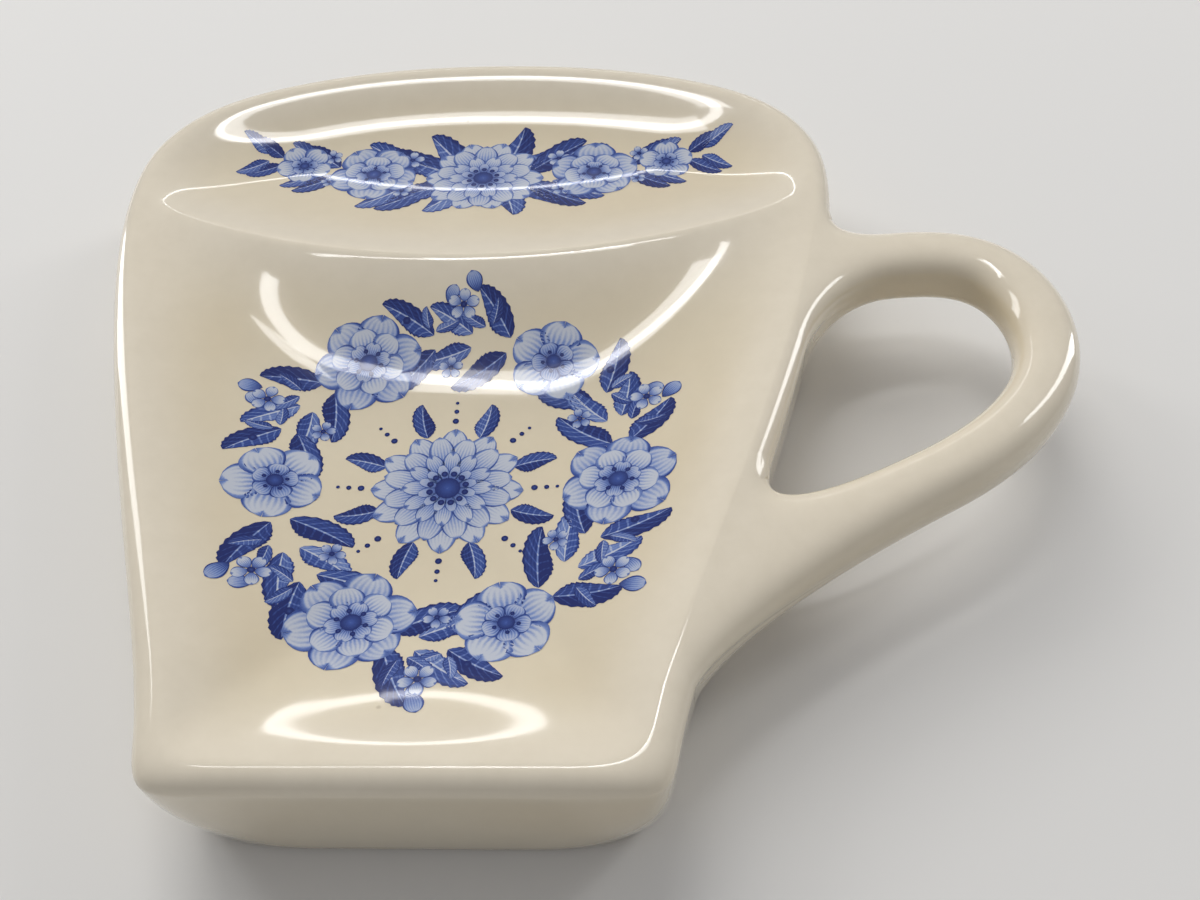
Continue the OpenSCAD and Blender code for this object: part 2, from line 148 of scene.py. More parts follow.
def from_srgb(*channels):
    """Linear colour of a colour written in screen values from 0 to 255."""
    shares = [channel / 255 for channel in channels]
    return tuple(s / 12.92 if s <= 0.04045 else ((s + 0.055) / 1.055) ** 2.4 for s in shares)


def length(name, description, default):
    return FloatProperty(name=name, description=description, default=default, unit="LENGTH", precision=5)


def colour(name, description, default):
    return FloatVectorProperty(name=name, description=description, default=default, subtype="COLOR",
                               min=0.0, max=1.0)


class TeaRestDish(bpy.types.PropertyGroup):
    """Sizes of the dish."""

    body_d: length("Depth", "From the base of the cup shape to the back of its mouth", 0.1072)
    mouth_w: length("Mouth width", "Width across the mouth at its widest", 0.08957)
    base_w: length("Base width", "Width of the straight front edge", 0.0466)
    mouth_back: length("Mouth back", "From the back edge to the widest line of the mouth", 0.0277)
    corner_r: length("Corner radius", "Radius of the two front corners", 0.0034)
    rim_h: length("Rim height", "Height of the rim and of the ridge", DISH_HIGH.z)
    rim_r: length("Rim roll", "Radius of the rolled outer edge", 0.002)
    rim_corner_r: length("Rim corner", "Radius of the front corners along the rim's top", 0.0045)
    wall_t: length("Wall", "Thickness of the dish under the well", 0.0062)
    mouth_wall_t: length("Mouth wall", "Thickness of the dish under the mouth", 0.0082)
    well_depth: length("Well depth", "Depth of the well below the rim", 0.0056)
    floor_dip: length("Floor dip", "Extra dip in the middle of the well's floor", 0.0007)
    well_run: length("Well run", "From the ridge down to the well's floor", 0.024)
    mouth_depth: length("Mouth depth", "Depth of the dished mouth below its edge", 0.0042)
    mouth_run: length("Mouth run", "From the ridge to the bottom of the mouth's dish", 0.023)
    mouth_rim_run: length("Mouth rim run", "From the back rim to the bottom of the mouth's dish", 0.0145)
    ridge_back: length("Ridge back", "From the back edge to the ridge on the middle line", 0.0411)
    ridge_r: length("Ridge radius", "Radius of the ridge's curve, seen from above", 0.087)
    foot_inset: length("Foot inset", "How far the foot stands in from the outer edge", 0.0007)
    foot_corner_r: length("Foot corner", "Radius of the foot's front corners", 0.0086)
    foot_w: length("Foot width", "Width of the ring that the dish stands on", 0.0032)
    foot_edge_r: length("Foot edge", "How far the foot's outer edge is rounded over", 0.0006)


class TeaRestHandle(bpy.types.PropertyGroup):
    """Sizes of the loop handle."""

    loop_out: length("Reach", "How far the loop stands out past the mouth's widest line", 0.02537)
    loop_span: length("Span", "From the middle of the top bar down to the lower root", 0.0392)
    loop_drop: length("Drop", "From the mouth's widest line down to the middle of the top bar", 0.0117)
    bar_w: length("Bar width", "Width of the bar at the top of the loop", 0.0078)
    bar_low_w: length("Low bar width", "Width of the bar where it runs back to the lower root", 0.0065)
    bar_t: length("Bar thickness", "Thickness of the bar from top to bottom", 0.007)
    bar_drop: length("Bar drop", "Drop from the rim's top to the bar's top", 0.0003)
    slip_t: length("Slip", "Thickness of the slip that lutes each root to the dish", 0.00035)


class TeaRestPrints(bpy.types.PropertyGroup):
    """Sizes of the two printed sprays."""

    spray_w: length("Spray width", "Width of the spray printed in the well", 0.048)
    spray_l: length("Spray length", "Length of the spray printed in the well", 0.052)
    spray_front: length("Spray front", "From the front edge to the middle of the well's spray", 0.036)
    garland_w: length("Garland width", "Width of the garland printed in the mouth", 0.060)
    garland_back: length("Garland back", "From the back edge to the middle of the garland", 0.020)
    print_lift: length("Print lift", "Height of the lowest layer of ink over the glaze", 0.00002)
    layer_t: length("Layer", "Height of each layer of ink over the one below", 0.000004)
    seed: IntProperty(name="Seed", description="Seed of the small changes from motif to motif", default=7)


class TeaRestLooks(bpy.types.PropertyGroup):
    """Colours of the glaze, the clay and the ink."""

    ivory: colour("Ivory", "Glazed body where the glaze lies thick", from_srgb(220, 208, 182))
    # Paler tint of the top of the rim, the ridge and the handle: thin glaze, and partly a painted highlight
    # on these raised tops
    thin_glaze_and_highlight: colour("Pale ivory", "Glazed body along the rim, where the glaze is thin",
                       from_srgb(229, 219, 199))
    warm_ivory: colour("Warm ivory", "Warmer cast of the glaze in soft clouds", from_srgb(215, 199, 168))
    speck: colour("Speck", "Fine specks in the clay", from_srgb(150, 128, 98))
    bare_clay: colour("Bare clay", "Foot ring wiped clean of glaze", from_srgb(214, 200, 172))
    slip: colour("Slip", "Slip under the glaze at the handle's roots", from_srgb(219, 208, 184))
    ink_pale: colour("Pale ink", "Thinnest wash of the print", from_srgb(190, 195, 205))
    ink_light: colour("Light ink", "Light strokes of the print", from_srgb(116, 138, 190))
    ink_mid: colour("Mid ink", "Middle tone of the print", from_srgb(48, 74, 146))
    ink_deep: colour("Deep ink", "Darkest strokes of the print", from_srgb(10, 30, 98))


class TeaRestStage(bpy.types.PropertyGroup):
    """Camera, floor and light."""

    floor: colour("Floor", "Colour of the plain floor", (0.78, 0.77, 0.745))
    backdrop: colour("Backdrop", "Colour behind the part, which the floor fades into", (0.82, 0.815, 0.80))
    fade: FloatVectorProperty(name="Fade", description="Distances where the floor's fade starts and ends",
                              default=(0.2, 0.55), size=2, unit="LENGTH")
    sky_tint: colour("Sky tint", "Colour of the soft light all round", (0.94, 0.95, 1.0))
    sky: FloatProperty(name="Sky", description="Strength of the soft light all round", default=0.35)
    lens: FloatProperty(name="Lens", description="Focal length of the camera in millimetres", default=34.5)
    eye: FloatVectorProperty(name="Eye", description="Camera's place about the cup's middle",
                             default=(0.0204, -0.0913, 0.1073), subtype="XYZ", unit="LENGTH")
    aim: FloatVectorProperty(name="Aim", description="Point that the camera looks at",
                             default=(0.0159, -0.0070, 0.003), subtype="XYZ", unit="LENGTH")
    roll: FloatProperty(name="Roll", description="Turn of the camera about its own view",
                        default=math.radians(-2.68), subtype="ANGLE")


def joined(operation, swapped=False):
    """A method that joins the socket and another value by one Math node."""
    def method(self, other):
        pair = (other, self) if swapped else (self, other)
        return self.tree.maths(operation, *pair)

    return method


class Number:
    """A socket that carries a number, on which arithmetic adds Math nodes."""

    def __init__(self, tree, socket):
        self.tree = tree
        self.socket = socket

    __add__ = joined("ADD")
    __radd__ = joined("ADD", True)
    __sub__ = joined("SUBTRACT")
    __rsub__ = joined("SUBTRACT", True)
    __mul__ = joined("MULTIPLY")
    __rmul__ = joined("MULTIPLY", True)
    __truediv__ = joined("DIVIDE")
    __rtruediv__ = joined("DIVIDE", True)
    over = joined("GREATER_THAN")
    most = joined("MAXIMUM")
    least = joined("MINIMUM")

    def __neg__(self):
        return self * -1.0

    def __abs__(self):
        return self.tree.maths("ABSOLUTE", self)

    def sine(self):
        return self.tree.maths("SINE", self)

    def fraction(self):
        return self.tree.maths("FRACT", self)

    def limited(self):
        return self.most(0.0).least(1.0)

    def eased(self, start, end):
        """0 before the start, 1 past the end, and a soft step between."""
        return eased((self - start) / (end - start))


class Tree:
    """A node tree of a material, a world or a modifier."""

    def __init__(self, nodes_of):
        self.tree = nodes_of
        self.nodes = nodes_of.nodes
        self.links = nodes_of.links

    def feed(self, socket, value):
        if isinstance(value, Number):
            self.links.new(value.socket, socket)
        elif isinstance(value, bpy.types.NodeSocket):
            self.links.new(value, socket)
        else:
            socket.default_value = value

    def node(self, kind, settings=None, sockets=None):
        """Adds one node, with its settings first and then what feeds its sockets."""
        node = self.nodes.new(kind)
        for name, value in (settings or {}).items():
            if name == "stops":
                self.set_stops(node.color_ramp, value)
            else:
                setattr(node, name, value)
        for name, value in (sockets or {}).items():
            self.feed(node.inputs[name], value)
        return node

    def set_stops(self, ramp, stops):
        while len(ramp.elements) < len(stops):
            ramp.elements.new(1.0)
        for element, (place, tint) in zip(ramp.elements, stops):
            element.position = place
            element.color = (*tint[:3], 1.0)

    def camera_ray(self):
        """1 where the camera sees straight to the surface or the sky, else 0."""
        return self.number(self.node("ShaderNodeLightPath").outputs["Is Camera Ray"])

    def object_place(self):
        """The point's own place, in a material."""
        return self.node("ShaderNodeTexCoord").outputs["Object"]

    def maths(self, operation, *values):
        node = self.nodes.new("ShaderNodeMath")
        node.operation = operation
        for socket, value in zip(node.inputs, values):
            self.feed(socket, value)
        return Number(self, node.outputs[0])

    def number(self, socket):
        return Number(self, socket)

    def parts(self, vector):
        """The three numbers of a vector."""
        node = self.node("ShaderNodeSeparateXYZ", sockets={"Vector": vector})
        return [self.number(socket) for socket in node.outputs]

    def vector(self, x, y, z):
        return self.node("ShaderNodeCombineXYZ", sockets={"X": x, "Y": y, "Z": z}).outputs[0]

    def attribute(self, name):
        """A number stored on the mesh, in a material."""
        return self.number(self.node("ShaderNodeAttribute", {"attribute_name": name}).outputs["Fac"])

    def stored(self, name, kind="FLOAT"):
        """A value stored on the mesh, in a geometry tree."""
        node = self.node("GeometryNodeInputNamedAttribute", {"data_type": kind}, {"Name": name})
        return self.number(node.outputs["Attribute"]) if kind == "FLOAT" else node.outputs["Attribute"]

    def mix_colour(self, share, first, second, blend="MIX"):
        """Mixes two colours, each from a socket or as it stands in the settings."""
        node = self.node("ShaderNodeMix", {"data_type": "RGBA", "blend_type": blend})
        self.feed(node.inputs[0], share)
        for socket, value in ((node.inputs[6], first), (node.inputs[7], second)):
            self.feed(socket, value if isinstance(value, bpy.types.NodeSocket) else (*value, 1.0))
        return node.outputs[2]

    def noise(self, vector, scale, detail=2.0, roughness=0.5):
        sockets = {"Vector": vector, "Scale": scale, "Detail": detail, "Roughness": roughness}
        return self.number(self.node("ShaderNodeTexNoise", sockets=sockets).outputs[0])


def geometry_tree(name, inputs):
    """A geometry tree with named size inputs. Returns its wrapper, its geometry and its numbers."""
    nodes = bpy.data.node_groups.new(shared_name(name), "GeometryNodeTree")
    nodes.interface.new_socket("Geometry", in_out="INPUT", socket_type="NodeSocketGeometry")
    nodes.interface.new_socket("Geometry", in_out="OUTPUT", socket_type="NodeSocketGeometry")
    kinds = {label: f"NodeSocket{label}" for label in ("Object", "Collection", "Material")}
    for label in inputs:
        nodes.interface.new_socket(label, in_out="INPUT", socket_type=kinds.get(label, "NodeSocketFloat"))
    tree = Tree(nodes)
    entry = tree.node("NodeGroupInput")
    sockets = {label: entry.outputs[label] for label in inputs}
    sizes = {label: socket if label in kinds else tree.number(socket) for label, socket in sockets.items()}
    return tree, entry.outputs["Geometry"], sizes


def finish_tree(tree, geometry, material):
    """Ends a geometry tree: instances are made real and the material is set."""
    real = tree.node("GeometryNodeRealizeInstances", sockets={"Geometry": geometry})
    smooth = tree.node("GeometryNodeSetShadeSmooth", sockets={"Geometry": real.outputs[0]})
    dressed = tree.node("GeometryNodeSetMaterial", sockets={
        "Geometry": smooth.outputs[0], "Material": material})
    tree.node("NodeGroupOutput", sockets={"Geometry": dressed.outputs[0]})


def run_tree(holder, tree, values, name):
    """Runs a geometry tree on an object and returns what it gives as a plain mesh object."""
    modifier = holder.modifiers.new("shape", "NODES")
    modifier.node_group = tree.tree
    for item in tree.tree.interface.items_tree:
        if item.in_out == "INPUT" and item.name in values:
            modifier[item.identifier] = values[item.name]
    bpy.context.view_layer.update()
    depsgraph = bpy.context.evaluated_depsgraph_get()
    mesh = bpy.data.meshes.new_from_object(holder.evaluated_get(depsgraph), depsgraph=depsgraph)
    holder.modifiers.remove(modifier)
    bpy.data.objects.remove(holder)
    mesh.name = shared_name(name)
    return linked_object(name, mesh)


def linked_object(name, data):
    made = bpy.data.objects.new(name, data)
    bpy.context.scene.collection.objects.link(made)
    return made


def store(mesh, label, values):
    """Stores a number or a vector on each point of a mesh."""
    if values.ndim == 2:
        mesh.attributes.new(label, "FLOAT_VECTOR", "POINT").data.foreach_set("vector", values.ravel())
    else:
        mesh.attributes.new(label, "FLOAT", "POINT").data.foreach_set("value", values)


def mesh_object(name, points, faces, attributes=None):
    """A mesh object from lists of points and faces, with numbers stored on its points."""
    mesh = bpy.data.meshes.new(shared_name(name))
    mesh.from_pydata([tuple(point) for point in points], [], [tuple(face) for face in faces])
    for label, values in (attributes or {}).items():
        store(mesh, label, np.asarray(values, float))
    mesh.update()
    return linked_object(name, mesh)


def mix(a, b, t):
    """From a to b by the share t, for numbers, places and sockets alike."""
    return a + (b - a) * t


def limited(t):
    return t.limited() if isinstance(t, Number) else np.clip(t, 0.0, 1.0)


def eased(t):
    """A soft step from 0 to 1, for numbers and for sockets alike."""
    u = limited(t)
    return u * u * (3.0 - 2.0 * u)


def slope(t, crest):
    """A slope from 0 to 1 that leaves its crest softly and settles into the floor."""
    u = limited(t)
    s = (1.0 + crest) * u * u / (u + crest)
    return 1.0 - (1.0 - s) * (1.0 - s)


def spline(points, t, closed):
    """Places along a cubic B-spline through its control points, at t counted in points."""
    count = len(points)
    t = np.asarray(t, float)
    start = np.floor(t).astype(int)
    if not closed:
        start = np.minimum(start, count - 4)
    f = (t - start)[..., None]
    near = [points[(start + step) % count] for step in ((-1, 0, 1, 2) if closed else (0, 1, 2, 3))]
    weights = ((1 - f) ** 3, 3 * f ** 3 - 6 * f ** 2 + 4, -3 * f ** 3 + 3 * f ** 2 + 3 * f + 1, f ** 3)
    return sum(weight * point for weight, point in zip(weights, near)) / 6


class CupPlan:
    """The cup's outline seen from above, about its own middle line."""

    def __init__(self, sizes):
        self.sizes = sizes
        self.front = -sizes.body_d / 2
        self.back = sizes.body_d / 2
        self.mouth = self.back - sizes.mouth_back
        self.ridge = self.back - sizes.ridge_back
        self.wall_h = sizes.rim_h - sizes.rim_r
        self.pole = np.array([0.0, mix(self.front, self.back, POLE_SHARE)])
        self.count = len(self.control(0.0, sizes.corner_r))

    def control(self, inset, corner):
        """Control points of the outline, moved in by an inset, with front corners of this radius."""
        half_base = self.sizes.base_w / 2 - inset
        half_mouth = self.sizes.mouth_w / 2 - inset
        front = self.front + inset
        back = self.back - inset
        right = [(half_base * share, front) for share in FRONT_SHARES]
        right += [(half_base + x * corner, front + y * corner) for x, y in CORNER_SHARES]
        right += [(mix(half_base, half_mouth, x), mix(front, self.mouth, y)) for x, y in SIDE_SHARES]
        right += [(half_mouth * x, mix(self.mouth, back, y)) for x, y in BACK_SHARES]
        left = [(-x, y) for x, y in reversed(right)]
        return np.array([(0.0, front)] + right + [(0.0, back)] + left)

    def line(self, t, inset, corner):
        return spline(self.control(inset, corner), t, True)

    def edge(self, t):
        return self.line(t, 0.0, self.sizes.corner_r)

    def rim(self, t):
        return self.line(t, self.sizes.rim_r, self.sizes.rim_corner_r)

    def foot(self, t):
        return self.line(t, self.sizes.foot_inset, self.sizes.foot_corner_r)

    def foot_inside(self, t):
        return self.line(t, self.sizes.foot_inset + self.sizes.foot_w, self.sizes.foot_corner_r)

    def past_ridge(self, points):
        """How far each point lies behind the ridge's curve, below 0 in the well."""
        centre = np.array([0.0, self.ridge + self.sizes.ridge_r])
        return self.sizes.ridge_r - np.linalg.norm(points - centre, axis=-1)

    def rim_reach(self, way):
        """Distance from the pole to the rim along each way."""
        t = np.arange(RIM_SAMPLES) * self.count / RIM_SAMPLES
        ring = self.rim(t) - self.pole
        angles = np.unwrap(np.arctan2(ring[:, 1], ring[:, 0]))
        turns = np.mod(np.arctan2(way[:, 1], way[:, 0]) - angles[0], 2 * math.pi) + angles[0]
        reach = np.linalg.norm(ring, axis=1)
        return np.interp(turns, np.append(angles, angles[0] + 2 * math.pi), np.append(reach, reach[0]))

    def well_reach(self, way):
        """Distance from the pole to the ridge or the rim, whichever comes first along each way."""
        depth = self.ridge + self.sizes.ridge_r - self.pole[1]
        back = way[:, 1] * depth
        square = back ** 2 - depth ** 2 + self.sizes.ridge_r ** 2
        met = (square > 0) & (back > 0)
        ridge = np.where(met, back - np.sqrt(np.maximum(square, 0)), OUT_OF_REACH)
        return np.minimum(ridge, self.rim_reach(way))

    def shares(self, points):
        """How far out each point lies, from the pole to the rim, and how far down the well's slope."""
        from_pole = points - self.pole
        distance = np.linalg.norm(from_pole, axis=1)
        way = from_pole / np.maximum(distance, NEAR_ZERO)[:, None]
        out = np.minimum(distance / self.rim_reach(way), 1.0)
        down = np.minimum(way[:, 1], 0.0) ** 2
        eased_out = out * (1 + CORNER_EASE_SHARE * 4 * down * (1 - down) * (1 - out))
        return out, (1 - eased_out) / mix(SIDE_RUN_SHARE, FRONT_RUN_SHARE, down)

    def side(self, t, drop):
        """Outer face at t along the outline: drop 0 is the rim's top, 1 the edge and 2 the foot."""
        t, drop = np.broadcast_arrays(np.asarray(t, float), np.asarray(drop, float))
        angle = np.clip(drop, 0, 1) * math.pi / 2
        fall = np.clip(drop - 1, 0, 1)
        rolled = mix(self.rim(t), self.edge(t), np.sin(angle)[..., None])
        lower = mix(self.edge(t), self.foot(t), (fall ** WALL_POWER)[..., None])
        plan = np.where((drop > 1)[..., None], lower, rolled)
        height = np.where(drop > 1, self.wall_h * (1 - fall), self.wall_h + self.sizes.rim_r * np.cos(angle))
        return np.concatenate([plan, height[..., None]], axis=-1)

    def side_normal(self, t, drop):
        """Which way the outer face looks at t and drop."""
        along = self.side(t + OUTLINE_NUDGE, drop) - self.side(t - OUTLINE_NUDGE, drop)
        down = self.side(t, drop + OUTLINE_NUDGE) - self.side(t, drop - OUTLINE_NUDGE)
        return unit(np.cross(down, along))


def unit(vectors):
    return vectors / np.linalg.norm(vectors, axis=-1, keepdims=True)


def placed(points):
    """Moves points from about the cup's middle line into the frame, where the dish's node lies."""
    sizes = bpy.context.scene.tea_rest_dish
    shift = np.array([(DISH_LOW.x + DISH_HIGH.x) / 2, DISH_LOW.y + sizes.body_d / 2, 0.0])
    return np.asarray(points) + shift


def relief(tree, shares, sizes):
    """Height of the dish's top from a point's shares and its distance past the ridge."""
    out, down, past = tree.parts(shares)
    from_rim = slope((1.0 - out) / sizes["Mouth Rim Share"], MOUTH_CREST_SHARE)
    mouth = sizes["Mouth Depth"] * from_rim * slope(past / sizes["Mouth Run"], RIDGE_CREST_SHARE)
    depth = sizes["Well Depth"] + sizes["Floor Dip"] * (1.0 - out * out)
    well = slope(down, WELL_CREST_SHARE) * slope(-past / sizes["Well Run"], RIDGE_CREST_SHARE) * depth
    return sizes["Rim Height"] - mix(well, mouth, past.over(0.0))


RELIEF_INPUTS = ("Rim Height", "Well Depth", "Floor Dip", "Well Run", "Mouth Depth", "Mouth Run",
                 "Mouth Rim Share")


def relief_values(dish):
    """What the dish's sizes say for each of the relief's inputs."""
    return {
        "Rim Height": dish.rim_h,
        "Well Depth": dish.well_depth,
        "Floor Dip": dish.floor_dip,
        "Well Run": dish.well_run,
        "Mouth Depth": dish.mouth_depth,
        "Mouth Run": dish.mouth_run,
        "Mouth Rim Share": dish.mouth_rim_run / (dish.body_d * (1 - POLE_SHARE) - dish.rim_r),
    }


def dish_rings(plan):
    """The dish's rings in plan, each with its zone and its own height or share of the way under."""
    sizes = plan.sizes
    t = np.arange(RAYS) * plan.count / RAYS
    rim = plan.rim(t)
    way = unit(rim - plan.pole)
    crest = plan.pole + plan.well_reach(way)[:, None] * way
    inside = mix(rim, plan.pole, TURN_SHARE)
    at_ridge = eased((rim[:, 1] - crest[:, 1]) / (sizes.mouth_back * RIDGE_FADE_SHARE))
    turn = mix(inside, crest, at_ridge[:, None])
    rings = []
    for i in range(1, INNER_RINGS + 1):
        rings.append(("top", mix(plan.pole, turn, (i / INNER_RINGS) ** INNER_POWER), 0.0))
    for i in range(1, BAND_RINGS):
        share = i / BAND_RINGS
        rings.append(("top", mix(turn, rim, share - BAND_CROWD_SHARE * math.sin(2 * math.pi * share)), 0.0))
    foot_share = 1 - sizes.foot_edge_r / plan.wall_h
    drops = [i / ROLL_RINGS for i in range(ROLL_RINGS + 1)]
    drops += [1 + foot_share * i / WALL_RINGS for i in range(1, WALL_RINGS + 1)]
    for drop in drops:
        ring = plan.side(t, drop)
        rings.append(("side", ring[:, :2], ring[0, 2]))
    foot, foot_inside = plan.foot(t), plan.foot_inside(t)
    last, last_h = rings[-1][1], rings[-1][2]
    rounded = mix(foot, foot_inside, sizes.foot_edge_r / sizes.foot_w)
    for i in range(1, FOOT_EDGE_RINGS + 1):
        s = i / FOOT_EDGE_RINGS
        turned = (1 - s) ** 2 * last + 2 * s * (1 - s) * foot + s ** 2 * rounded
        rings.append(("side", turned, (1 - s) ** 2 * last_h))
    rings.append(("side", mix(rounded, foot_inside, 0.5), 0.0))
    rings.append(("side", foot_inside, 0.0))
    for i in range(1, UNDER_RINGS):
        share = (i / UNDER_RINGS) ** UNDER_POWER
        rings.append(("under", mix(foot_inside, plan.pole, share), share))
    return rings


def skin_faces(count, rings, turned=False):
    """Faces over rings of points that follow each other, with a fan round a point at either end.

    A turned face looks the other way and keeps its first point.
    """
    pairs = [(i, (i + 1) % count) for i in range(count)]
    end = 1 + rings * count
    faces = [(0, 1 + j, 1 + i) for i, j in pairs]
    for a in range(1, end - count, count):
        b = a + count
        faces += [(a + i, a + j, b + j, b + i) for i, j in pairs]
    faces += [(end, end - count + i, end - count + j) for i, j in pairs]
    return [face[:1] + face[:0:-1] for face in faces] if turned else faces


def dish_plan_mesh(plan):
    """The flat mesh that the relief tree raises, with what the tree needs to know on its points."""
    middle = plan.pole[None, :]
    rings = dish_rings(plan)
    faces = skin_faces(RAYS, len(rings), turned=True)
    rings = [("top", middle, 0.0)] + rings + [("under", middle, 1.0)]
    flat = np.concatenate([ring for _, ring, _ in rings])
    zone = np.concatenate([[zone] * len(ring) for zone, ring, _ in rings])
    value = np.concatenate([[value] * len(ring) for _, ring, value in rings])
    attributes = {
        "on_top": zone == "top",
        "on_under": zone == "under",
        "own_height": np.where(zone == "side", value, 0.0),
        "under_share": np.where(zone == "under", value, 0.0),
        "shares": np.stack([*plan.shares(flat), plan.past_ridge(flat)], axis=1),
    }
    spots = placed(np.concatenate([flat, np.zeros((len(flat), 1))], axis=1))
    return mesh_object("dish_plan", spots, faces, attributes)


def relief_tree():
    """The tree that raises the dish's plan into the well, the ridge, the mouth and the recess below."""
    labels = RELIEF_INPUTS + ("Well Wall", "Mouth Wall", "Material")
    tree, geometry, sizes = geometry_tree("dish_relief", labels)
    shares = tree.stored("shares", "FLOAT_VECTOR")
    past = tree.parts(shares)[2]
    under_share = tree.stored("under_share")
    top = relief(tree, shares, sizes)
    under_well = sizes["Rim Height"] - sizes["Well Depth"] - sizes["Floor Dip"] - sizes["Well Wall"]
    under_mouth = sizes["Rim Height"] - sizes["Mouth Depth"] - sizes["Mouth Wall"]
    in_mouth = eased(past / sizes["Mouth Run"] + UNDER_TURN_SHARE)
    under = slope(under_share / UNDER_SHARE, MOUTH_CREST_SHARE) * mix(under_well, under_mouth, in_mouth)
    height = tree.stored("own_height") + tree.stored("on_top") * top + tree.stored("on_under") * under
    offset = tree.vector(0.0, 0.0, height)
    raised = tree.node("GeometryNodeSetPosition", sockets={"Geometry": geometry, "Offset": offset})
    finish_tree(tree, raised.outputs[0], sizes["Material"])
    return tree


def section(count, power):
    """Points of a rounded square of half side 1, counted round from its upper left corner."""
    angles = math.pi * 3 / 4 - 2 * math.pi * np.arange(count) / count
    way = np.stack([np.cos(angles), np.sin(angles)], axis=1)
    return way / (np.abs(way) ** power).sum(axis=1, keepdims=True) ** (1 / power)


class Loop:
    """The handle's loop: its middle line, its section and its roots on the dish."""

    def __init__(self, plan, sizes):
        self.plan = plan
        self.sizes = sizes
        half_mouth = plan.sizes.mouth_w / 2
        top = plan.mouth - sizes.loop_drop
        stops = [plan.edge(UPPER_START)]
        for x, y in PATH_SHARES:
            stops.append(np.array([half_mouth + x * sizes.loop_out, top - y * sizes.loop_span]))
        stops.append(plan.edge(LOWER_START))
        self.end = len(stops) - 1
        first = 2 * stops[0] - stops[1]
        last = 2 * stops[-1] - stops[-2]
        self.control = np.array([first] + stops + [last])
        self.shape = section(SECTION_POINTS, SECTION_POWER)
        self.root_shape = section(SECTION_POINTS, ROOT_POWER)
        self.middle_z = plan.sizes.rim_h - sizes.bar_drop - sizes.bar_t / 2

    def at(self, t):
        return spline(self.control, t, False)

    def way(self, t):
        """Which way the middle line runs at t."""
        return unit(self.at(min(self.end, t + LOOP_NUDGE)) - self.at(max(0.0, t - LOOP_NUDGE)))

    def bar(self, t):
        """The bar's ring at t along the loop."""
        middle, way = self.at(t), self.way(t)
        half = mix(self.sizes.bar_w, self.sizes.bar_low_w, eased(t / self.end)) / 2
        plan = middle + half * self.shape[:, :1] * np.array([-way[1], way[0]])
        height = self.middle_z + self.sizes.bar_t / 2 * self.shape[:, 1:]
        return np.concatenate([plan, height], axis=1)

    def root(self, root, share, out):
        """A ring round a root on the dish's outer face, at a share of its size, lifted by out."""
        centre, turn, inside, outside = root
        x, y = self.root_shape[:, 0], self.root_shape[:, 1]
        t = centre + turn * share * x * np.where(x > 0, outside, inside)
        up = (ROOT_MIDDLE - ROOT_TOP) * share ** 3
        down = (ROOT_LOW - ROOT_MIDDLE) * share
        drop = ROOT_MIDDLE - y * np.where(y > 0, up, down)
        normal = self.plan.side_normal(t, drop)
        return self.plan.side(t, drop) + out * normal, normal

    def flare(self, root, far, far_way):
        """Rings from a root to the bar, which leave the dish along its own face.

        Each is pulled to where the bar, run straight on, would meet the wall.
        """
        near, normal = self.root(root, 1.0, SKIN)
        centre, _, inside, outside = root
        wall, out = self.plan.side(centre, 1.0), self.plan.side_normal(centre, 1.0)
        meet = far - (((far - wall) @ out) / (far_way @ out))[:, None] * far_way
        on_face = meet - near - ((meet - near) * normal).sum(axis=1, keepdims=True) * normal
        reach = mix(inside, outside, eased((self.root_shape[:, :1] + 1) / 2))
        far_pull = mix(*FAR_PULL_SHARES, eased((reach - FAR_PULL_REACH) / FAR_PULL_REACH))
        pull_near = near + NEAR_PULL_SHARE * on_face
        pull_far = far - far_pull * (far - meet)
        rings = []
        for i in range(FLARE_RINGS):
            s = (i / FLARE_RINGS) ** FLARE_POWER
            rings.append((1 - s) ** 3 * near + 3 * s * (1 - s) ** 2 * pull_near
                         + 3 * s * s * (1 - s) * pull_far + s ** 3 * far)
        return rings

    def cap(self, root, thickness):
        """Rings across a root from its middle out, which lie on the slip."""
        rings = []
        for i in range(1, CAP_RINGS):
            share = i / CAP_RINGS
            past_slip = eased((share - SLIP_COVER_SHARE) / SLIP_EDGE_SHARE)
            rings.append(self.root(root, share, mix(thickness, SKIN, past_slip))[0])
        return rings


def closed_tube(rings):
    """Points and faces of a tube of rings, closed at both ends by a fan."""
    first, last = (ring.mean(axis=0)[None, :] for ring in (rings[0], rings[-1]))
    return np.concatenate([first] + rings + [last]), skin_faces(len(rings[0]), len(rings))


def handle_mesh(loop):
    """The handle in one skin: root, flare, bar, flare and root."""
    first, last = FLARE_SHARES
    steps = np.linspace(first * loop.end, (1 - last) * loop.end, BAR_RINGS)
    bars = [loop.bar(t) for t in steps]
    up_way = np.append(loop.way(steps[0]), 0.0)
    low_way = -np.append(loop.way(steps[-1]), 0.0)
    upper = loop.cap(UPPER_ROOT, loop.sizes.slip_t) + loop.flare(UPPER_ROOT, bars[0], up_way)
    lower = loop.cap(LOWER_ROOT, loop.sizes.slip_t) + loop.flare(LOWER_ROOT, bars[-1], low_way)
    return closed_tube(upper + bars + lower[::-1])


def slip_mesh(loop, root):
    """The layer of slip under a root: a thin slab that follows the dish's outer face."""
    shares = [SLIP_COVER_SHARE * (i + 1) / CAP_RINGS for i in range(CAP_RINGS)]
    outer = [loop.root(root, share, loop.sizes.slip_t)[0] for share in reversed(shares)]
    inner = [loop.root(root, share, 0.0)[0] for share in shares]
    return closed_tube(inner + outer)


def finished(name, points, faces, material):
    """A smooth closed piece in its place, in its material."""
    piece = mesh_object(name, placed(points), faces)
    mesh = piece.data
    bpy.context.view_layer.update()
    mesh.materials.append(material)
    mesh.shade_smooth()
    mesh.set_sharp_from_angle(angle=SHARP_ANGLE)
    return piece


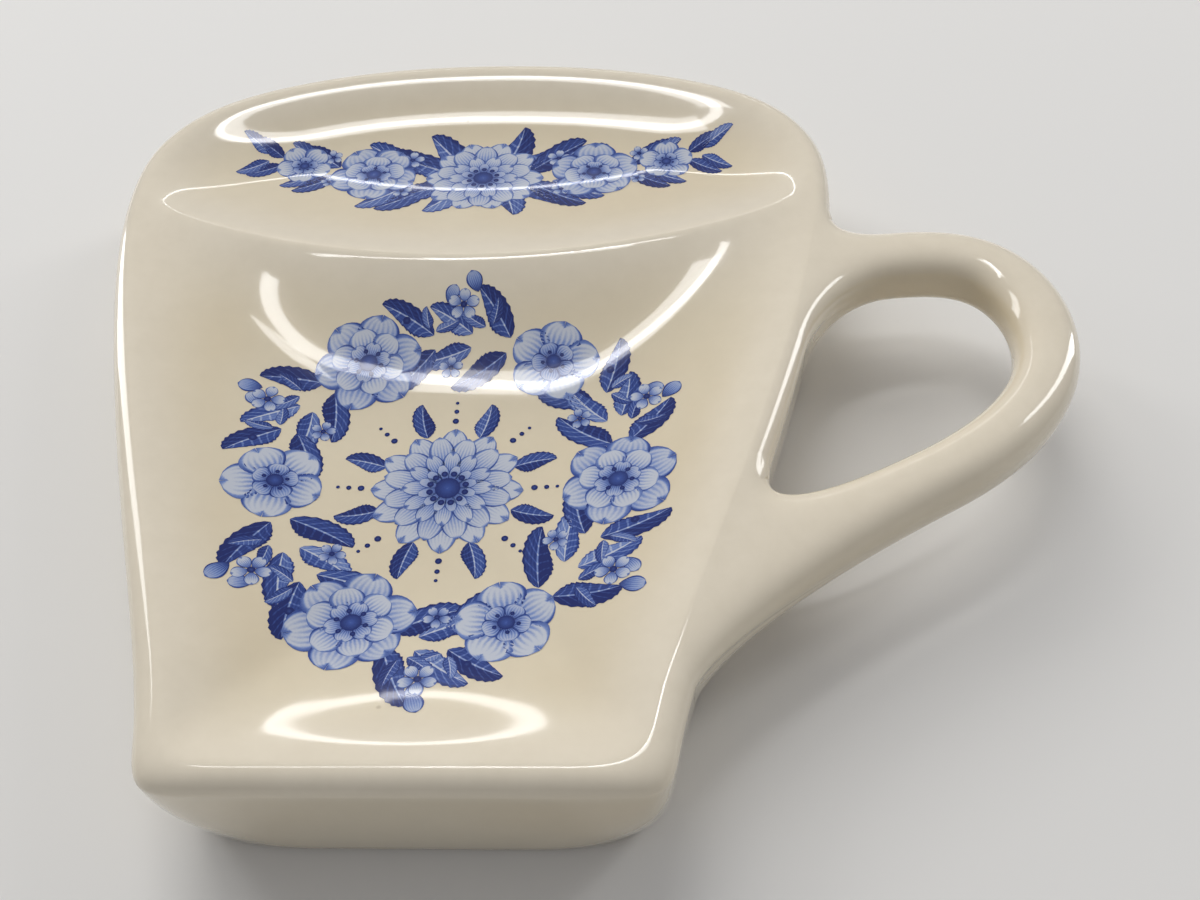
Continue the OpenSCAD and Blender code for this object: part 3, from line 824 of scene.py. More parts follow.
def glazed_surface(tree, tint, roughness, coat, height):
    """The clear gloss glaze over a tint: a shader that is smooth where the coat lies."""
    bump = tree.node("ShaderNodeBump", sockets={"Height": height, "Strength": 1.0, "Distance": 1.0})
    shader = tree.node("ShaderNodeBsdfPrincipled", sockets={
        "Base Color": tint,
        "Roughness": roughness,
        "IOR": 1.5,
        "Specular IOR Level": 0.2,
        "Coat Weight": coat,
        "Coat Roughness": 0.04,
        "Coat IOR": 1.52,
        "Normal": bump.outputs[0],
    })
    tree.node("ShaderNodeOutputMaterial", sockets={"Surface": shader.outputs[0]})


def empty_tree(owner):
    """The wrapper of a material's or a world's own tree, with nothing in it yet."""
    owner.use_nodes = True
    owner.node_tree.nodes.clear()
    return Tree(owner.node_tree)


def material_tree(name):
    material = bpy.data.materials.new(shared_name(name))
    return material, empty_tree(material)


# The glaze and the clay: how fine each pattern is, where it starts and ends, and how much it does.
# Scales count the pattern's features in a metre, and heights are metres
WAVE_SCALE, WAVE_H = 60.0, 0.0001
SKIN_SCALE, SKIN_H = 900.0, 0.0000012
CLOUD_SCALE, CLOUD_EDGES, CLOUD_SHARE = 45.0, (0.35, 0.68), 0.45
# The paler top of the rim, the ridge and the handle is thin glaze and partly a painted highlight: the
# mottle's share in it, and the height share where it starts
MOTTLE_SCALE, MOTTLE_SHADE, MOTTLE_IN_THIN_AND_HIGHLIGHT = 420.0, 0.06, 0.25
THIN_GLAZE_AND_HIGHLIGHT_START = 0.80
SPECK_SCALE, SPECK_RARITY, SPECK_EDGES, SPECK_SHARE = 260.0, 0.96, (0.03, 0.09), 0.35
DRY_EDGES, DRY_WOBBLE_SCALE, DRY_WOBBLE = (0.00035, 0.00055), 500.0, 0.0005
CLAY_SCALE, CLAY_SHARE, CLAY_H = 3500.0, 0.35, 0.00006
GLAZE_ROUGHNESS, GLAZE_ROUGHER, CLAY_ROUGHNESS = 0.10, 0.05, 0.82
SLIP_SCALE, SLIP_SHARE, SLIP_H = 1800.0, 0.3, 0.00003
SLIP_ROUGHNESS, SLIP_ROUGHER = 0.55, 0.2


def glaze_waves(tree, place):
    """Height of the slow waves and the fine skin that a fired glaze keeps."""
    slow = tree.noise(place, WAVE_SCALE, 1.0) - 0.5
    skin = tree.noise(place, SKIN_SCALE, 2.0) - 0.5
    return slow * WAVE_H + skin * SKIN_H


def ivory_glaze(looks):
    """Ivory body under clear glaze, paler towards the top for thin glaze and partly as a painted highlight,
    bare on the foot ring.
    """
    material, tree = material_tree("ivory_glaze")
    place = tree.object_place()
    z = tree.parts(place)[2]
    rim_h = bpy.context.scene.tea_rest_dish.rim_h
    cloud = tree.noise(place, CLOUD_SCALE, 3.0).eased(*CLOUD_EDGES)
    mottle = tree.noise(place, MOTTLE_SCALE, 3.0, 0.6)
    tint = tree.mix_colour(cloud * CLOUD_SHARE, looks.ivory, looks.warm_ivory)
    # Paler towards the top of the rim, the ridge and the handle: thin glaze, and partly a painted highlight
    # on these raised tops
    thin = z.eased(rim_h * THIN_GLAZE_AND_HIGHLIGHT_START, rim_h) * ((1.0 - MOTTLE_IN_THIN_AND_HIGHLIGHT) + MOTTLE_IN_THIN_AND_HIGHLIGHT * mottle)
    tint = tree.mix_colour(thin, tint, looks.thin_glaze_and_highlight)
    shade = (mottle - 0.5) * MOTTLE_SHADE + 1.0
    tint = tree.mix_colour(1.0, tint, tree.vector(shade, shade, shade), "MULTIPLY")
    cells = tree.node("ShaderNodeTexVoronoi", sockets={
        "Vector": place, "Scale": SPECK_SCALE, "Randomness": 1.0})
    spread = tree.number(cells.outputs["Distance"])
    chosen = tree.parts(cells.outputs["Color"])[0].over(SPECK_RARITY)
    speck = chosen * (1.0 - spread.eased(*SPECK_EDGES)) * SPECK_SHARE
    tint = tree.mix_colour(speck, tint, looks.speck)
    edge = z + (tree.noise(place, DRY_WOBBLE_SCALE, 2.0) - 0.5) * DRY_WOBBLE
    dry = 1.0 - edge.eased(*DRY_EDGES)
    grain = tree.noise(place, CLAY_SCALE, 4.0, 0.7)
    clay = tree.mix_colour(grain * CLAY_SHARE, looks.bare_clay, looks.speck)
    tint = tree.mix_colour(dry, tint, clay)
    roughness = mix(GLAZE_ROUGHNESS + GLAZE_ROUGHER * mottle, CLAY_ROUGHNESS, dry)
    height = mix(glaze_waves(tree, place), grain * CLAY_H, dry)
    glazed_surface(tree, tint, roughness, 1.0 - dry, height)
    return material


def slip_clay(looks):
    """Fired slip at the handle's roots."""
    material, tree = material_tree("slip")
    grain = tree.noise(tree.object_place(), SLIP_SCALE, 4.0, 0.65)
    tint = tree.mix_colour(grain * SLIP_SHARE, looks.slip, looks.speck)
    glazed_surface(tree, tint, SLIP_ROUGHNESS + SLIP_ROUGHER * grain, 0.0, grain * SLIP_H)
    return material


# The ink: where a motif's outline, rib and veins lie on its map, and how dark each part prints,
# from 0, the pale wash, to 1, the deepest stroke
STROKES, STROKE_WOBBLE, WOBBLE_SCALE = 8, 0.05, 1200.0
SIDE_EDGES, TIP_EDGES = (0.74, 0.95), (0.90, 0.985)
PETAL_BASE, PETAL_STROKES, PETAL_STROKES_OUT, PETAL_OUTLINE, PETAL_TONE = 0.55, 0.34, 0.15, 0.52, 0.34
RIB_EDGES, VEINS, VEIN_SLANT, VEIN_EDGES, LIT_EDGES = (0.03, 0.10), 7.0, 1.3, (0.06, 0.16), (-0.04, 0.04)
LEAF_BODY, LEAF_RIB, LEAF_HATCH, LEAF_LIT, LEAF_TONE, LEAF_OUTLINE = 0.86, 0.60, 0.24, 0.26, 0.80, 0.30
PLAIN_PETAL_TONE, PLAIN_LEAF_TONE = 0.5, 0.6
DOT_BODY, DOT_EDGE, DOT_TONE = 0.62, 0.4, 0.4
STEM_INK = 0.6
INK_GRAIN_SCALE, INK_GRAIN, INK_H, INK_ROUGHNESS = 5000.0, 0.22, 0.000012, 0.12
INK_STOPS = (0.0, 0.32, 0.64, 1.0)


def blue_ink(looks):
    """Cobalt transfer print under the glaze: engraved strokes from the motif's own map."""
    material, tree = material_tree("blue_print")
    place = tree.object_place()
    along, across, _ = tree.parts(tree.node("ShaderNodeUVMap", {"uv_map": "ink"}).outputs[0])
    kind = tree.attribute("ink_kind")
    tone = tree.attribute("ink_tone")
    side = abs(across * 2.0 - 1.0)
    wobble = tree.noise(place, WOBBLE_SCALE, 2.0) - 0.5
    strokes = ((across + wobble * STROKE_WOBBLE) * (2 * math.pi * STROKES)).sine() * 0.5 + 0.5
    outline = side.eased(*SIDE_EDGES).most(along.eased(*TIP_EDGES))
    base = (1.0 - along).limited()
    petal = base * base * PETAL_BASE + strokes * (base + PETAL_STROKES_OUT) * PETAL_STROKES
    petal = petal + outline * PETAL_OUTLINE + (tone - PLAIN_PETAL_TONE) * PETAL_TONE
    rib = 1.0 - side.eased(*RIB_EDGES)
    vein = 1.0 - abs((along * VEINS - side * VEIN_SLANT).fraction() - 0.5).eased(*VEIN_EDGES)
    lit = (across - 0.5).eased(*LIT_EDGES)
    hatch = (strokes * 0.5 + vein) * LEAF_HATCH
    leaf = LEAF_BODY - rib * LEAF_RIB - hatch - lit * LEAF_LIT
    leaf = leaf + (tone - PLAIN_LEAF_TONE) * LEAF_TONE + outline * LEAF_OUTLINE
    is_leaf = kind.over((PETAL_KIND + LEAF_KIND) / 2)
    is_dot = kind.over((LEAF_KIND + DOT_KIND) / 2)
    dot = DOT_BODY + DOT_EDGE * along + (tone - PLAIN_PETAL_TONE) * DOT_TONE
    ink = mix(mix(petal, leaf, is_leaf), dot, is_dot)
    ink = ink + (tree.noise(place, INK_GRAIN_SCALE, 3.0, 0.7) - 0.5) * INK_GRAIN
    stops = tuple(zip(INK_STOPS, (looks.ink_pale, looks.ink_light, looks.ink_mid, looks.ink_deep)))
    tint = tree.node("ShaderNodeValToRGB", {"stops": stops}, {"Fac": ink.limited()}).outputs[0]
    glazed_surface(tree, tint, INK_ROUGHNESS, 1.0, glaze_waves(tree, place) + ink.limited() * INK_H)
    return material


def plain_floor(stage):
    """Matt floor that fades into the backdrop away from the part."""
    material, tree = material_tree("floor")
    shader = tree.node("ShaderNodeBsdfPrincipled", sockets={
        "Base Color": (*stage.floor, 1.0),
        "Roughness": 0.7,
        "Specular IOR Level": 0.2,
    })
    x, y, _ = tree.parts(tree.object_place())
    near, far = stage.fade
    faded = (x * x + y * y).eased(near ** 2, far ** 2) * tree.camera_ray()
    backdrop = tree.node("ShaderNodeEmission", sockets={"Color": (*stage.backdrop, 1.0)})
    blended = tree.node("ShaderNodeMixShader", sockets={
        0: faded, 1: shader.outputs[0], 2: backdrop.outputs[0]})
    tree.node("ShaderNodeOutputMaterial", sockets={"Surface": blended.outputs[0]})
    return material


def cached(name, make, *arguments):
    """A material that several pieces share, made once."""
    return bpy.data.materials.get(shared_name(name)) or make(*arguments)


# A motif is a flat unit shape along X from 0 to 1, half a unit to each side at its widest. A blade
# is cut into rows and columns. Its width is a bulge: a lean to the tip, a fullness and a narrow end
PETAL_CUTS, PETAL_LEAN, PETAL_FULLNESS, PETAL_NOTCH = (12, 8), 1.25, 0.6, 0.16
LEAF_CUTS, LEAF_LEAN, LEAF_FULLNESS, LEAF_BEND = (27, 6), 0.75, 0.9, 0.7
LEAF_TEETH, LEAF_TOOTH = 9, 0.16
END_W = 0.02
DOT_SIDES = 14


def petal_width(t):
    """Share of a petal's full width at a share of its length."""
    return np.sin(np.pi * t ** PETAL_LEAN) ** PETAL_FULLNESS * (1 - END_W) + END_W


def leaf_width(t):
    """The same for a leaf, with a toothed edge."""
    teeth = 1 - LEAF_TOOTH * np.mod(t * LEAF_TEETH, 1)
    return np.sin(np.pi * t ** LEAF_LEAN) ** LEAF_FULLNESS * teeth + END_W


def blade_motif(name, cuts, width, bend=0.0, notch=0.0):
    """A petal or leaf, bent to one side, with a notch at its tip."""
    rows, columns = cuts
    points, uvs = [], []
    for i in range(rows + 1):
        t = i / rows
        for k in range(columns + 1):
            across = 2 * k / columns - 1
            x = t - notch * t ** 3 * (1 - abs(across)) ** 2
            y = across * float(width(np.array(t))) / 2
            angle = bend * x
            centre = (np.sin(angle) / bend, (1 - np.cos(angle)) / bend) if bend else (x, 0.0)
            points.append((centre[0] - y * np.sin(angle), centre[1] + y * np.cos(angle), 0.0))
            uvs.append((t, k / columns))
    faces = []
    for i in range(rows):
        for k in range(columns):
            a = i * (columns + 1) + k
            faces.append((a, a + columns + 1, a + columns + 2, a + 1))
    return motif_object(name, points, faces, uvs)


def disc_motif(name, sides):
    """A round dot of diameter 1 about its own middle, which its map shades from middle to edge."""
    angles = 2 * math.pi * np.arange(sides) / sides
    points = [(0.0, 0.0, 0.0)]
    uvs = [(0.0, 0.5)]
    for share in (0.5, 1.0):
        points += [(share * math.cos(a) / 2, share * math.sin(a) / 2, 0.0) for a in angles]
        uvs += [(share, 0.5)] * sides
    faces = [(0, 1 + i, 1 + (i + 1) % sides) for i in range(sides)]
    faces += [(1 + i, 1 + sides + i, 1 + sides + (i + 1) % sides, 1 + (i + 1) % sides) for i in range(sides)]
    return motif_object(name, points, faces, uvs)


def motif_object(name, points, faces, uvs):
    """A motif with the map that its ink follows."""
    motif = mesh_object(name, points, faces)
    layer = motif.data.uv_layers.new(name="ink")
    for loop in motif.data.loops:
        layer.data[loop.index].uv = uvs[loop.vertex_index]
    return motif


PETAL, PETAL_NOTCHED, LEAF_LEFT, LEAF_RIGHT, DOT = range(5)
PETAL_KIND, LEAF_KIND, DOT_KIND = 0.0, 1.0, 2.0
KIND_OF = (PETAL_KIND, PETAL_KIND, LEAF_KIND, LEAF_KIND, DOT_KIND)


def motif_collection():
    """The unit motifs, in the order of their numbers."""
    collection = bpy.data.collections.new(shared_name("motifs"))
    motifs = (
        blade_motif("motif_0_petal", PETAL_CUTS, petal_width),
        blade_motif("motif_1_notched", PETAL_CUTS, petal_width, notch=PETAL_NOTCH),
        blade_motif("motif_2_leaf", LEAF_CUTS, leaf_width, bend=LEAF_BEND),
        blade_motif("motif_3_leaf", LEAF_CUTS, leaf_width, bend=-LEAF_BEND),
        disc_motif("motif_4_dot", DOT_SIDES),
    )
    for motif in motifs:
        bpy.context.scene.collection.objects.unlink(motif)
        collection.objects.link(motif)
    return collection


# Layers of ink, from the leaves up to the seeds on a flower's centre. A flower's rows give their own
LEAF_LAYER, SPRIG_LAYER, FLORET_LAYER, CENTRE_LAYER, SEED_LAYER = 1, 2, 4, 12, 13
TONE_JITTER = 0.12

# A flower's petals, as shares of its radius and of the room that each petal has
PETAL_TURN_JITTER, PETAL_REACH_JITTER = 0.05, 0.04
PETAL_RING_SHARE, PETAL_OVERLAP = 0.62, 1.25
CENTRE_SHARE, CENTRE_INK = 0.34, 0.35
SEED_RING_SHARE, SEED_SHARE, SEED_INK = 0.24, 0.09, 0.9
LEAF_TURN_JITTER, LEAF_SIZE_JITTER, LEAF_OFFSET_SHARE = 0.1, 0.08, 0.3
FLORET_PETALS, FLORET_JITTER = 5, 0.08
FLORET_BASE_SHARE, FLORET_PETAL_SHARE, FLORET_PETAL_W_SHARE, FLORET_DOT_SHARE = 0.14, 0.86, 0.74, 0.42
SCROLL_STEPS, SCROLL_STRIDE, SCROLL_CURL, SCROLL_DOT_SHARE = 22, 1.25, (0.06, 0.46), 0.13
SPRIG_LEAF_PLACE, SPRIG_LEAF_SHARE, SPRIG_LEAF_W_SHARE, SPRIG_LEAN = 0.35, 0.55, 0.24, 0.75
SPRIG_BUD_SHARE, SPRIG_BUD_W_SHARE, SPRIG_BUD_INK = 0.42, 0.30, 0.2


def toward(angle):
    """A step of length 1 in plan, at an angle from X."""
    return np.array([math.cos(angle), math.sin(angle)])


class Layout:
    """Where each motif of a print lies, and its thin stems, about the cup's middle line."""

    def __init__(self, seed):
        self.random = np.random.default_rng(seed)
        self.motifs = []
        self.stems = []

    def jitter(self, amount):
        return self.random.uniform(-amount, amount)

    def add(self, motif, place, angle, size, width, layer, tone):
        tone += self.jitter(TONE_JITTER)
        self.motifs.append((motif, place[0], place[1], angle, size, width, layer, tone))

    def dot(self, place, size, layer, tone):
        self.add(DOT, place, 0.0, size, size, layer, tone)

    def flower(self, middle, radius, petals, turn, rows):
        """Rows of petals round a dotted centre, the widest row lowest."""
        for row, (size, start, layer, tone) in enumerate(rows):
            for i in range(petals):
                angle = turn + 2 * math.pi * (i + 0.5 * row) / petals + self.jitter(PETAL_TURN_JITTER)
                reach = radius * size * (1 + self.jitter(PETAL_REACH_JITTER))
                base = middle + radius * start * toward(angle)
                width = 2 * math.pi * radius * size * PETAL_RING_SHARE / petals * PETAL_OVERLAP
                motif = PETAL if row % 2 else PETAL_NOTCHED
                self.add(motif, base, angle, reach - radius * start, width, layer, tone)
        self.dot(middle, radius * CENTRE_SHARE, CENTRE_LAYER, CENTRE_INK)
        for i in range(petals):
            spot = middle + radius * SEED_RING_SHARE * toward(turn + 2 * math.pi * (i + 0.5) / petals)
            self.dot(spot, radius * SEED_SHARE, SEED_LAYER, SEED_INK)

    def leaf_pair(self, place, way, size, width, lean, layer, tone):
        """Two leaves that lean out to both sides of one way."""
        for side, motif in ((1, LEAF_RIGHT), (-1, LEAF_LEFT)):
            angle = way + side * (lean + self.jitter(LEAF_TURN_JITTER))
            offset = side * width * LEAF_OFFSET_SHARE * np.array([-math.sin(way), math.cos(way)])
            own_size = size * (1 + self.jitter(LEAF_SIZE_JITTER))
            self.add(motif, place + offset, angle, own_size, width, layer, tone)

    def floret(self, middle, radius, turn, tone):
        """A few loose petals round a dot."""
        for i in range(FLORET_PETALS):
            angle = turn + 2 * math.pi * i / FLORET_PETALS + self.jitter(FLORET_JITTER)
            base = middle + radius * FLORET_BASE_SHARE * toward(angle)
            self.add(PETAL_NOTCHED, base, angle, radius * FLORET_PETAL_SHARE, radius * FLORET_PETAL_W_SHARE,
                     FLORET_LAYER, tone)
        self.dot(middle, radius * FLORET_DOT_SHARE, FLORET_LAYER + 1, SEED_INK)

    def scroll(self, place, way, size, turn):
        """A tendril that leaves a place one way and curls in on itself."""
        first_curl, more_curl = SCROLL_CURL
        spots = []
        spot = np.array(place, float)
        angle = way
        for t in np.linspace(0.0, 1.0, SCROLL_STEPS):
            spots.append(spot)
            spot = spot + size / SCROLL_STEPS * (SCROLL_STRIDE - t) * toward(angle)
            angle += turn * (first_curl + more_curl * t * t)
        self.stems.append(spots)
        self.dot(spots[-1], size * SCROLL_DOT_SHARE, SPRIG_LAYER, SEED_INK)

    def sprig(self, place, way, size, tone):
        """A short stem with two small leaves and a bud at its tip."""
        tip = place + size * toward(way)
        self.stems.append([place, mix(place, tip, 0.5), tip])
        self.leaf_pair(mix(place, tip, SPRIG_LEAF_PLACE), way, size * SPRIG_LEAF_SHARE,
                       size * SPRIG_LEAF_W_SHARE, SPRIG_LEAN, SPRIG_LAYER, tone)
        self.add(PETAL, tip, way, size * SPRIG_BUD_SHARE, size * SPRIG_BUD_W_SHARE,
                 SPRIG_LAYER + 1, tone + SPRIG_BUD_INK)


# A flower's rows from the lowest up: how far they reach, where they start, their layer and their tone
DAISY_ROWS = ((1.0, 0.26, 4, 0.30), (0.86, 0.24, 6, 0.42), (0.62, 0.16, 8, 0.52), (0.40, 0.10, 10, 0.75))
BLOSSOM_ROWS = ((1.0, 0.18, 4, 0.50), (0.70, 0.14, 6, 0.30), (0.42, 0.10, 8, 0.70))
ANEMONE_ROWS = ((1.0, 0.10, 4, 0.22), (0.48, 0.10, 7, 0.80))

# The wreath: sizes as shares of the spray's width. Its two flowers have a radius, a count of petals
# and their rows. A leaf pair has its place between two flowers, its size, lean and tone. The rest lie
# about the middle between them: sprigs with an angle off it, a lean, a size and a tone, florets with
# an angle, a step outwards, a size and a tone, and scrolls with an angle, a lean, a size and a curl
WREATH_SHARE = 0.76
WREATH_EGG_SHARE = 0.2
WREATH_BLOSSOMS = 6
WREATH_STEPS = 12
WREATH_NUDGE = 0.01
WREATH_FLOWERS = ((0.13, 6, BLOSSOM_ROWS), (0.108, 5, ANEMONE_ROWS))
BLOSSOM_TURN = 0.3
WREATH_LEAVES = ((0.26, 0.165, 0.95, 0.90), (0.45, 0.145, 0.60, 0.50), (0.64, 0.155, 0.85, 0.80))
WREATH_LEAF_W_SHARE = 0.40
WREATH_SPRIGS = ((-0.18, 0.35, 0.135, 0.7), (0.20, -0.45, 0.115, 0.5))
WREATH_FLORETS = ((0.0, 0.090, 0.040, 0.35), (0.05, -0.070, 0.030, 0.55))
WREATH_SCROLLS = ((-0.30, math.pi - 0.5, 0.16, 1), (0.34, 0.5, 0.15, -1))

# The daisy in the middle, with shares of its radius: its rays of one leaf, or of dots by reach and size
DAISY_SHARE = 0.17
DAISY_PETALS = 12
DAISY_RAYS = 8
RAY_LEAF_REACH, RAY_LEAF_SHARE, RAY_LEAF_W_SHARE, RAY_LEAF_INK = 0.92, 0.62, 0.30, 0.75
RAY_DOTS, RAY_DOT_INK = ((1.14, 0.09), (1.30, 0.07), (1.44, 0.05)), 0.8


def well_layout(plan, sizes):
    """Blossoms round an egg-shaped wreath, leaves between them, and a daisy in the middle."""
    layout = Layout(sizes.seed)
    middle = np.array([0.0, plan.front + sizes.spray_front])

    def wreath(angle):
        egg = 1 + WREATH_EGG_SHARE * math.sin(angle)
        reach = np.array([sizes.spray_w * math.cos(angle) * egg, sizes.spray_l * math.sin(angle)])
        return middle + WREATH_SHARE / 2 * reach

    def way_at(angle):
        ahead = wreath(angle + WREATH_NUDGE) - wreath(angle - WREATH_NUDGE)
        return math.atan2(ahead[1], ahead[0])

    step = 2 * math.pi / WREATH_BLOSSOMS
    layout.stems.append([wreath(step * k / WREATH_STEPS) for k in range(WREATH_STEPS * WREATH_BLOSSOMS + 1)])
    for i in range(WREATH_BLOSSOMS):
        size, petals, rows = WREATH_FLOWERS[i % 2]
        layout.flower(wreath(i * step), sizes.spray_w * size, petals, i * step + BLOSSOM_TURN, rows)
        for share, size, lean, tone in WREATH_LEAVES:
            angle = (i + share) * step
            size *= sizes.spray_w
            layout.leaf_pair(wreath(angle), way_at(angle), size, size * WREATH_LEAF_W_SHARE, lean,
                             LEAF_LAYER, tone)
        angle = (i + 0.5) * step
        out = way_at(angle) - math.pi / 2
        for off, lean, size, tone in WREATH_SPRIGS:
            layout.sprig(wreath(angle + off), out + lean, sizes.spray_w * size, tone)
        for off, up, size, tone in WREATH_FLORETS:
            spot = wreath(angle + off) + sizes.spray_w * up * toward(out)
            layout.floret(spot, sizes.spray_w * size, angle, tone)
        for off, lean, size, curl in WREATH_SCROLLS:
            layout.scroll(wreath(angle + off), out + lean, sizes.spray_w * size, curl)
    radius = sizes.spray_w * DAISY_SHARE
    layout.flower(middle, radius, DAISY_PETALS, 0.0, DAISY_ROWS)
    for i in range(DAISY_RAYS):
        angle = 2 * math.pi * (i + 0.5) / DAISY_RAYS
        spot = middle + radius * RAY_LEAF_REACH * toward(angle)
        layout.add(LEAF_LEFT if i % 2 else LEAF_RIGHT, spot, angle, radius * RAY_LEAF_SHARE,
                   radius * RAY_LEAF_W_SHARE, LEAF_LAYER, RAY_LEAF_INK)
        way = toward(2 * math.pi * i / DAISY_RAYS)
        for reach, size in RAY_DOTS:
            layout.dot(middle + radius * reach * way, radius * size, SPRIG_LAYER, RAY_DOT_INK)
    return layout


# The garland: places along it from its middle out, and sizes, as shares of its width. Blossoms have a
# place and a radius, florets a place, a step up and a radius, scrolls a place and a lean, and the
# daisy's leaves a motif, the sign of their turn, a size, a width and a tone
GARLAND_STEPS = 40
GARLAND_BLOSSOMS = ((0.245, 0.098), (0.405, 0.062))
GARLAND_DAISY_SHARE = 0.13
GARLAND_DAISY_PETALS, GARLAND_BLOSSOM_PETALS = 10, 5
DAISY_LEAF_LEANS = (0.6, 1.1, math.pi - 1.1, math.pi - 0.6)
DAISY_LEAF_STEP = 0.06
DAISY_LEAVES = ((LEAF_LEFT, 1, 0.19, 0.075, 0.75), (LEAF_RIGHT, -1, 0.17, 0.07, 0.6))
GARLAND_LEAVES = (0.105, 0.155, 0.325, 0.36, 0.455, 0.485)
GARLAND_LEAF_SHARE, GARLAND_LEAF_W_SHARE, GARLAND_LEAF_LEAN = 0.18, 0.075, 0.78
GARLAND_LEAF_INKS = (0.9, 0.6)
GARLAND_FLORETS = ((0.165, 0.062, 0.028), (0.175, -0.055, 0.024), (0.345, 0.045, 0.022),
                   (0.34, -0.045, 0.019))
GARLAND_FLORET_TURN, GARLAND_FLORET_INK = 9, 0.35
GARLAND_SCROLLS = ((0.20, 1.1), (0.21, -1.0), (0.36, 0.9), (0.38, -0.8))
GARLAND_SCROLL_SHARE = 0.10
GARLAND_TAPER_SHARE = 0.55
GARLAND_SAG_SHARE = 0.07
GARLAND_LIFT_SHARE = 0.33


def mouth_layout(plan, sizes):
    """A garland with a daisy in the middle, two blossoms on each side and leaves between them."""
    layout = Layout(sizes.seed + 1)
    middle = np.array([0.0, plan.back - sizes.garland_back])

    def garland(share):
        sag = GARLAND_SAG_SHARE * (4 * share * share - GARLAND_LIFT_SHARE)
        return middle + sizes.garland_w * np.array([share, sag])

    whole = sizes.garland_w
    layout.stems.append([garland(mix(-0.5, 0.5, k / GARLAND_STEPS)) for k in range(GARLAND_STEPS + 1)])
    layout.flower(garland(0.0), whole * GARLAND_DAISY_SHARE, GARLAND_DAISY_PETALS, 0.0, DAISY_ROWS)
    for lean in DAISY_LEAF_LEANS:
        spot = garland(0.0) + whole * DAISY_LEAF_STEP * np.array([math.cos(lean), 0.0])
        for motif, sign, size, width, tone in DAISY_LEAVES:
            layout.add(motif, spot, sign * lean, whole * size, whole * width, LEAF_LAYER, tone)
    for side in (1, -1):
        way = 0.0 if side > 0 else math.pi
        for (share, size), rows in zip(GARLAND_BLOSSOMS, (BLOSSOM_ROWS, ANEMONE_ROWS)):
            layout.flower(garland(side * share), whole * size, GARLAND_BLOSSOM_PETALS,
                          side * math.pi / 2, rows)
        for k, share in enumerate(GARLAND_LEAVES):
            size = whole * (1 - GARLAND_TAPER_SHARE * 2 * share)
            layout.leaf_pair(garland(side * share), way, size * GARLAND_LEAF_SHARE,
                             size * GARLAND_LEAF_W_SHARE, GARLAND_LEAF_LEAN, LEAF_LAYER,
                             GARLAND_LEAF_INKS[k % 2])
        for share, up, size in GARLAND_FLORETS:
            spot = garland(side * share) + np.array([0.0, whole * up])
            layout.floret(spot, whole * size, share * GARLAND_FLORET_TURN, GARLAND_FLORET_INK)
        for share, lean in GARLAND_SCROLLS:
            curl = side * math.copysign(1, lean)
            layout.scroll(garland(side * share), way + side * lean, whole * GARLAND_SCROLL_SHARE, curl)
    return layout


# The stems' width, and the rays that look down for the dish's top from above
STEM_W = 0.00055
RAY_START_H = 0.05
RAY_LENGTH = 0.1


def layout_object(layout, name):
    """The layout as loose points for the motifs and chains of edges for the stems."""
    points = [(x, y, 0.0) for _, x, y, *_ in layout.motifs]
    numbers = np.array(layout.motifs)
    edges = []
    for stem in layout.stems:
        start = len(points)
        points += [(x, y, 0.0) for x, y in stem]
        edges += [(start + i, start + i + 1) for i in range(len(stem) - 1)]
    mesh = bpy.data.meshes.new(shared_name(name))
    mesh.from_pydata([tuple(p) for p in placed(points)], edges, [])
    loose = len(points) - len(numbers)
    columns = {
        "motif": (numbers[:, 0], 0.0),
        "turn": (numbers[:, 3], 0.0),
        "size": (numbers[:, 4], 0.0),
        "width": (numbers[:, 5], 0.0),
        "ink_layer": (numbers[:, 6], 0.0),
        "ink_tone": (numbers[:, 7], STEM_INK),
        "ink_kind": (np.array([KIND_OF[int(m)] for m in numbers[:, 0]]), DOT_KIND),
        "is_motif": (np.ones(len(numbers)), 0.0),
    }
    for label, (values, filler) in columns.items():
        store(mesh, label, np.concatenate([values, np.full(loose, filler)]))
    return linked_object(name, mesh)


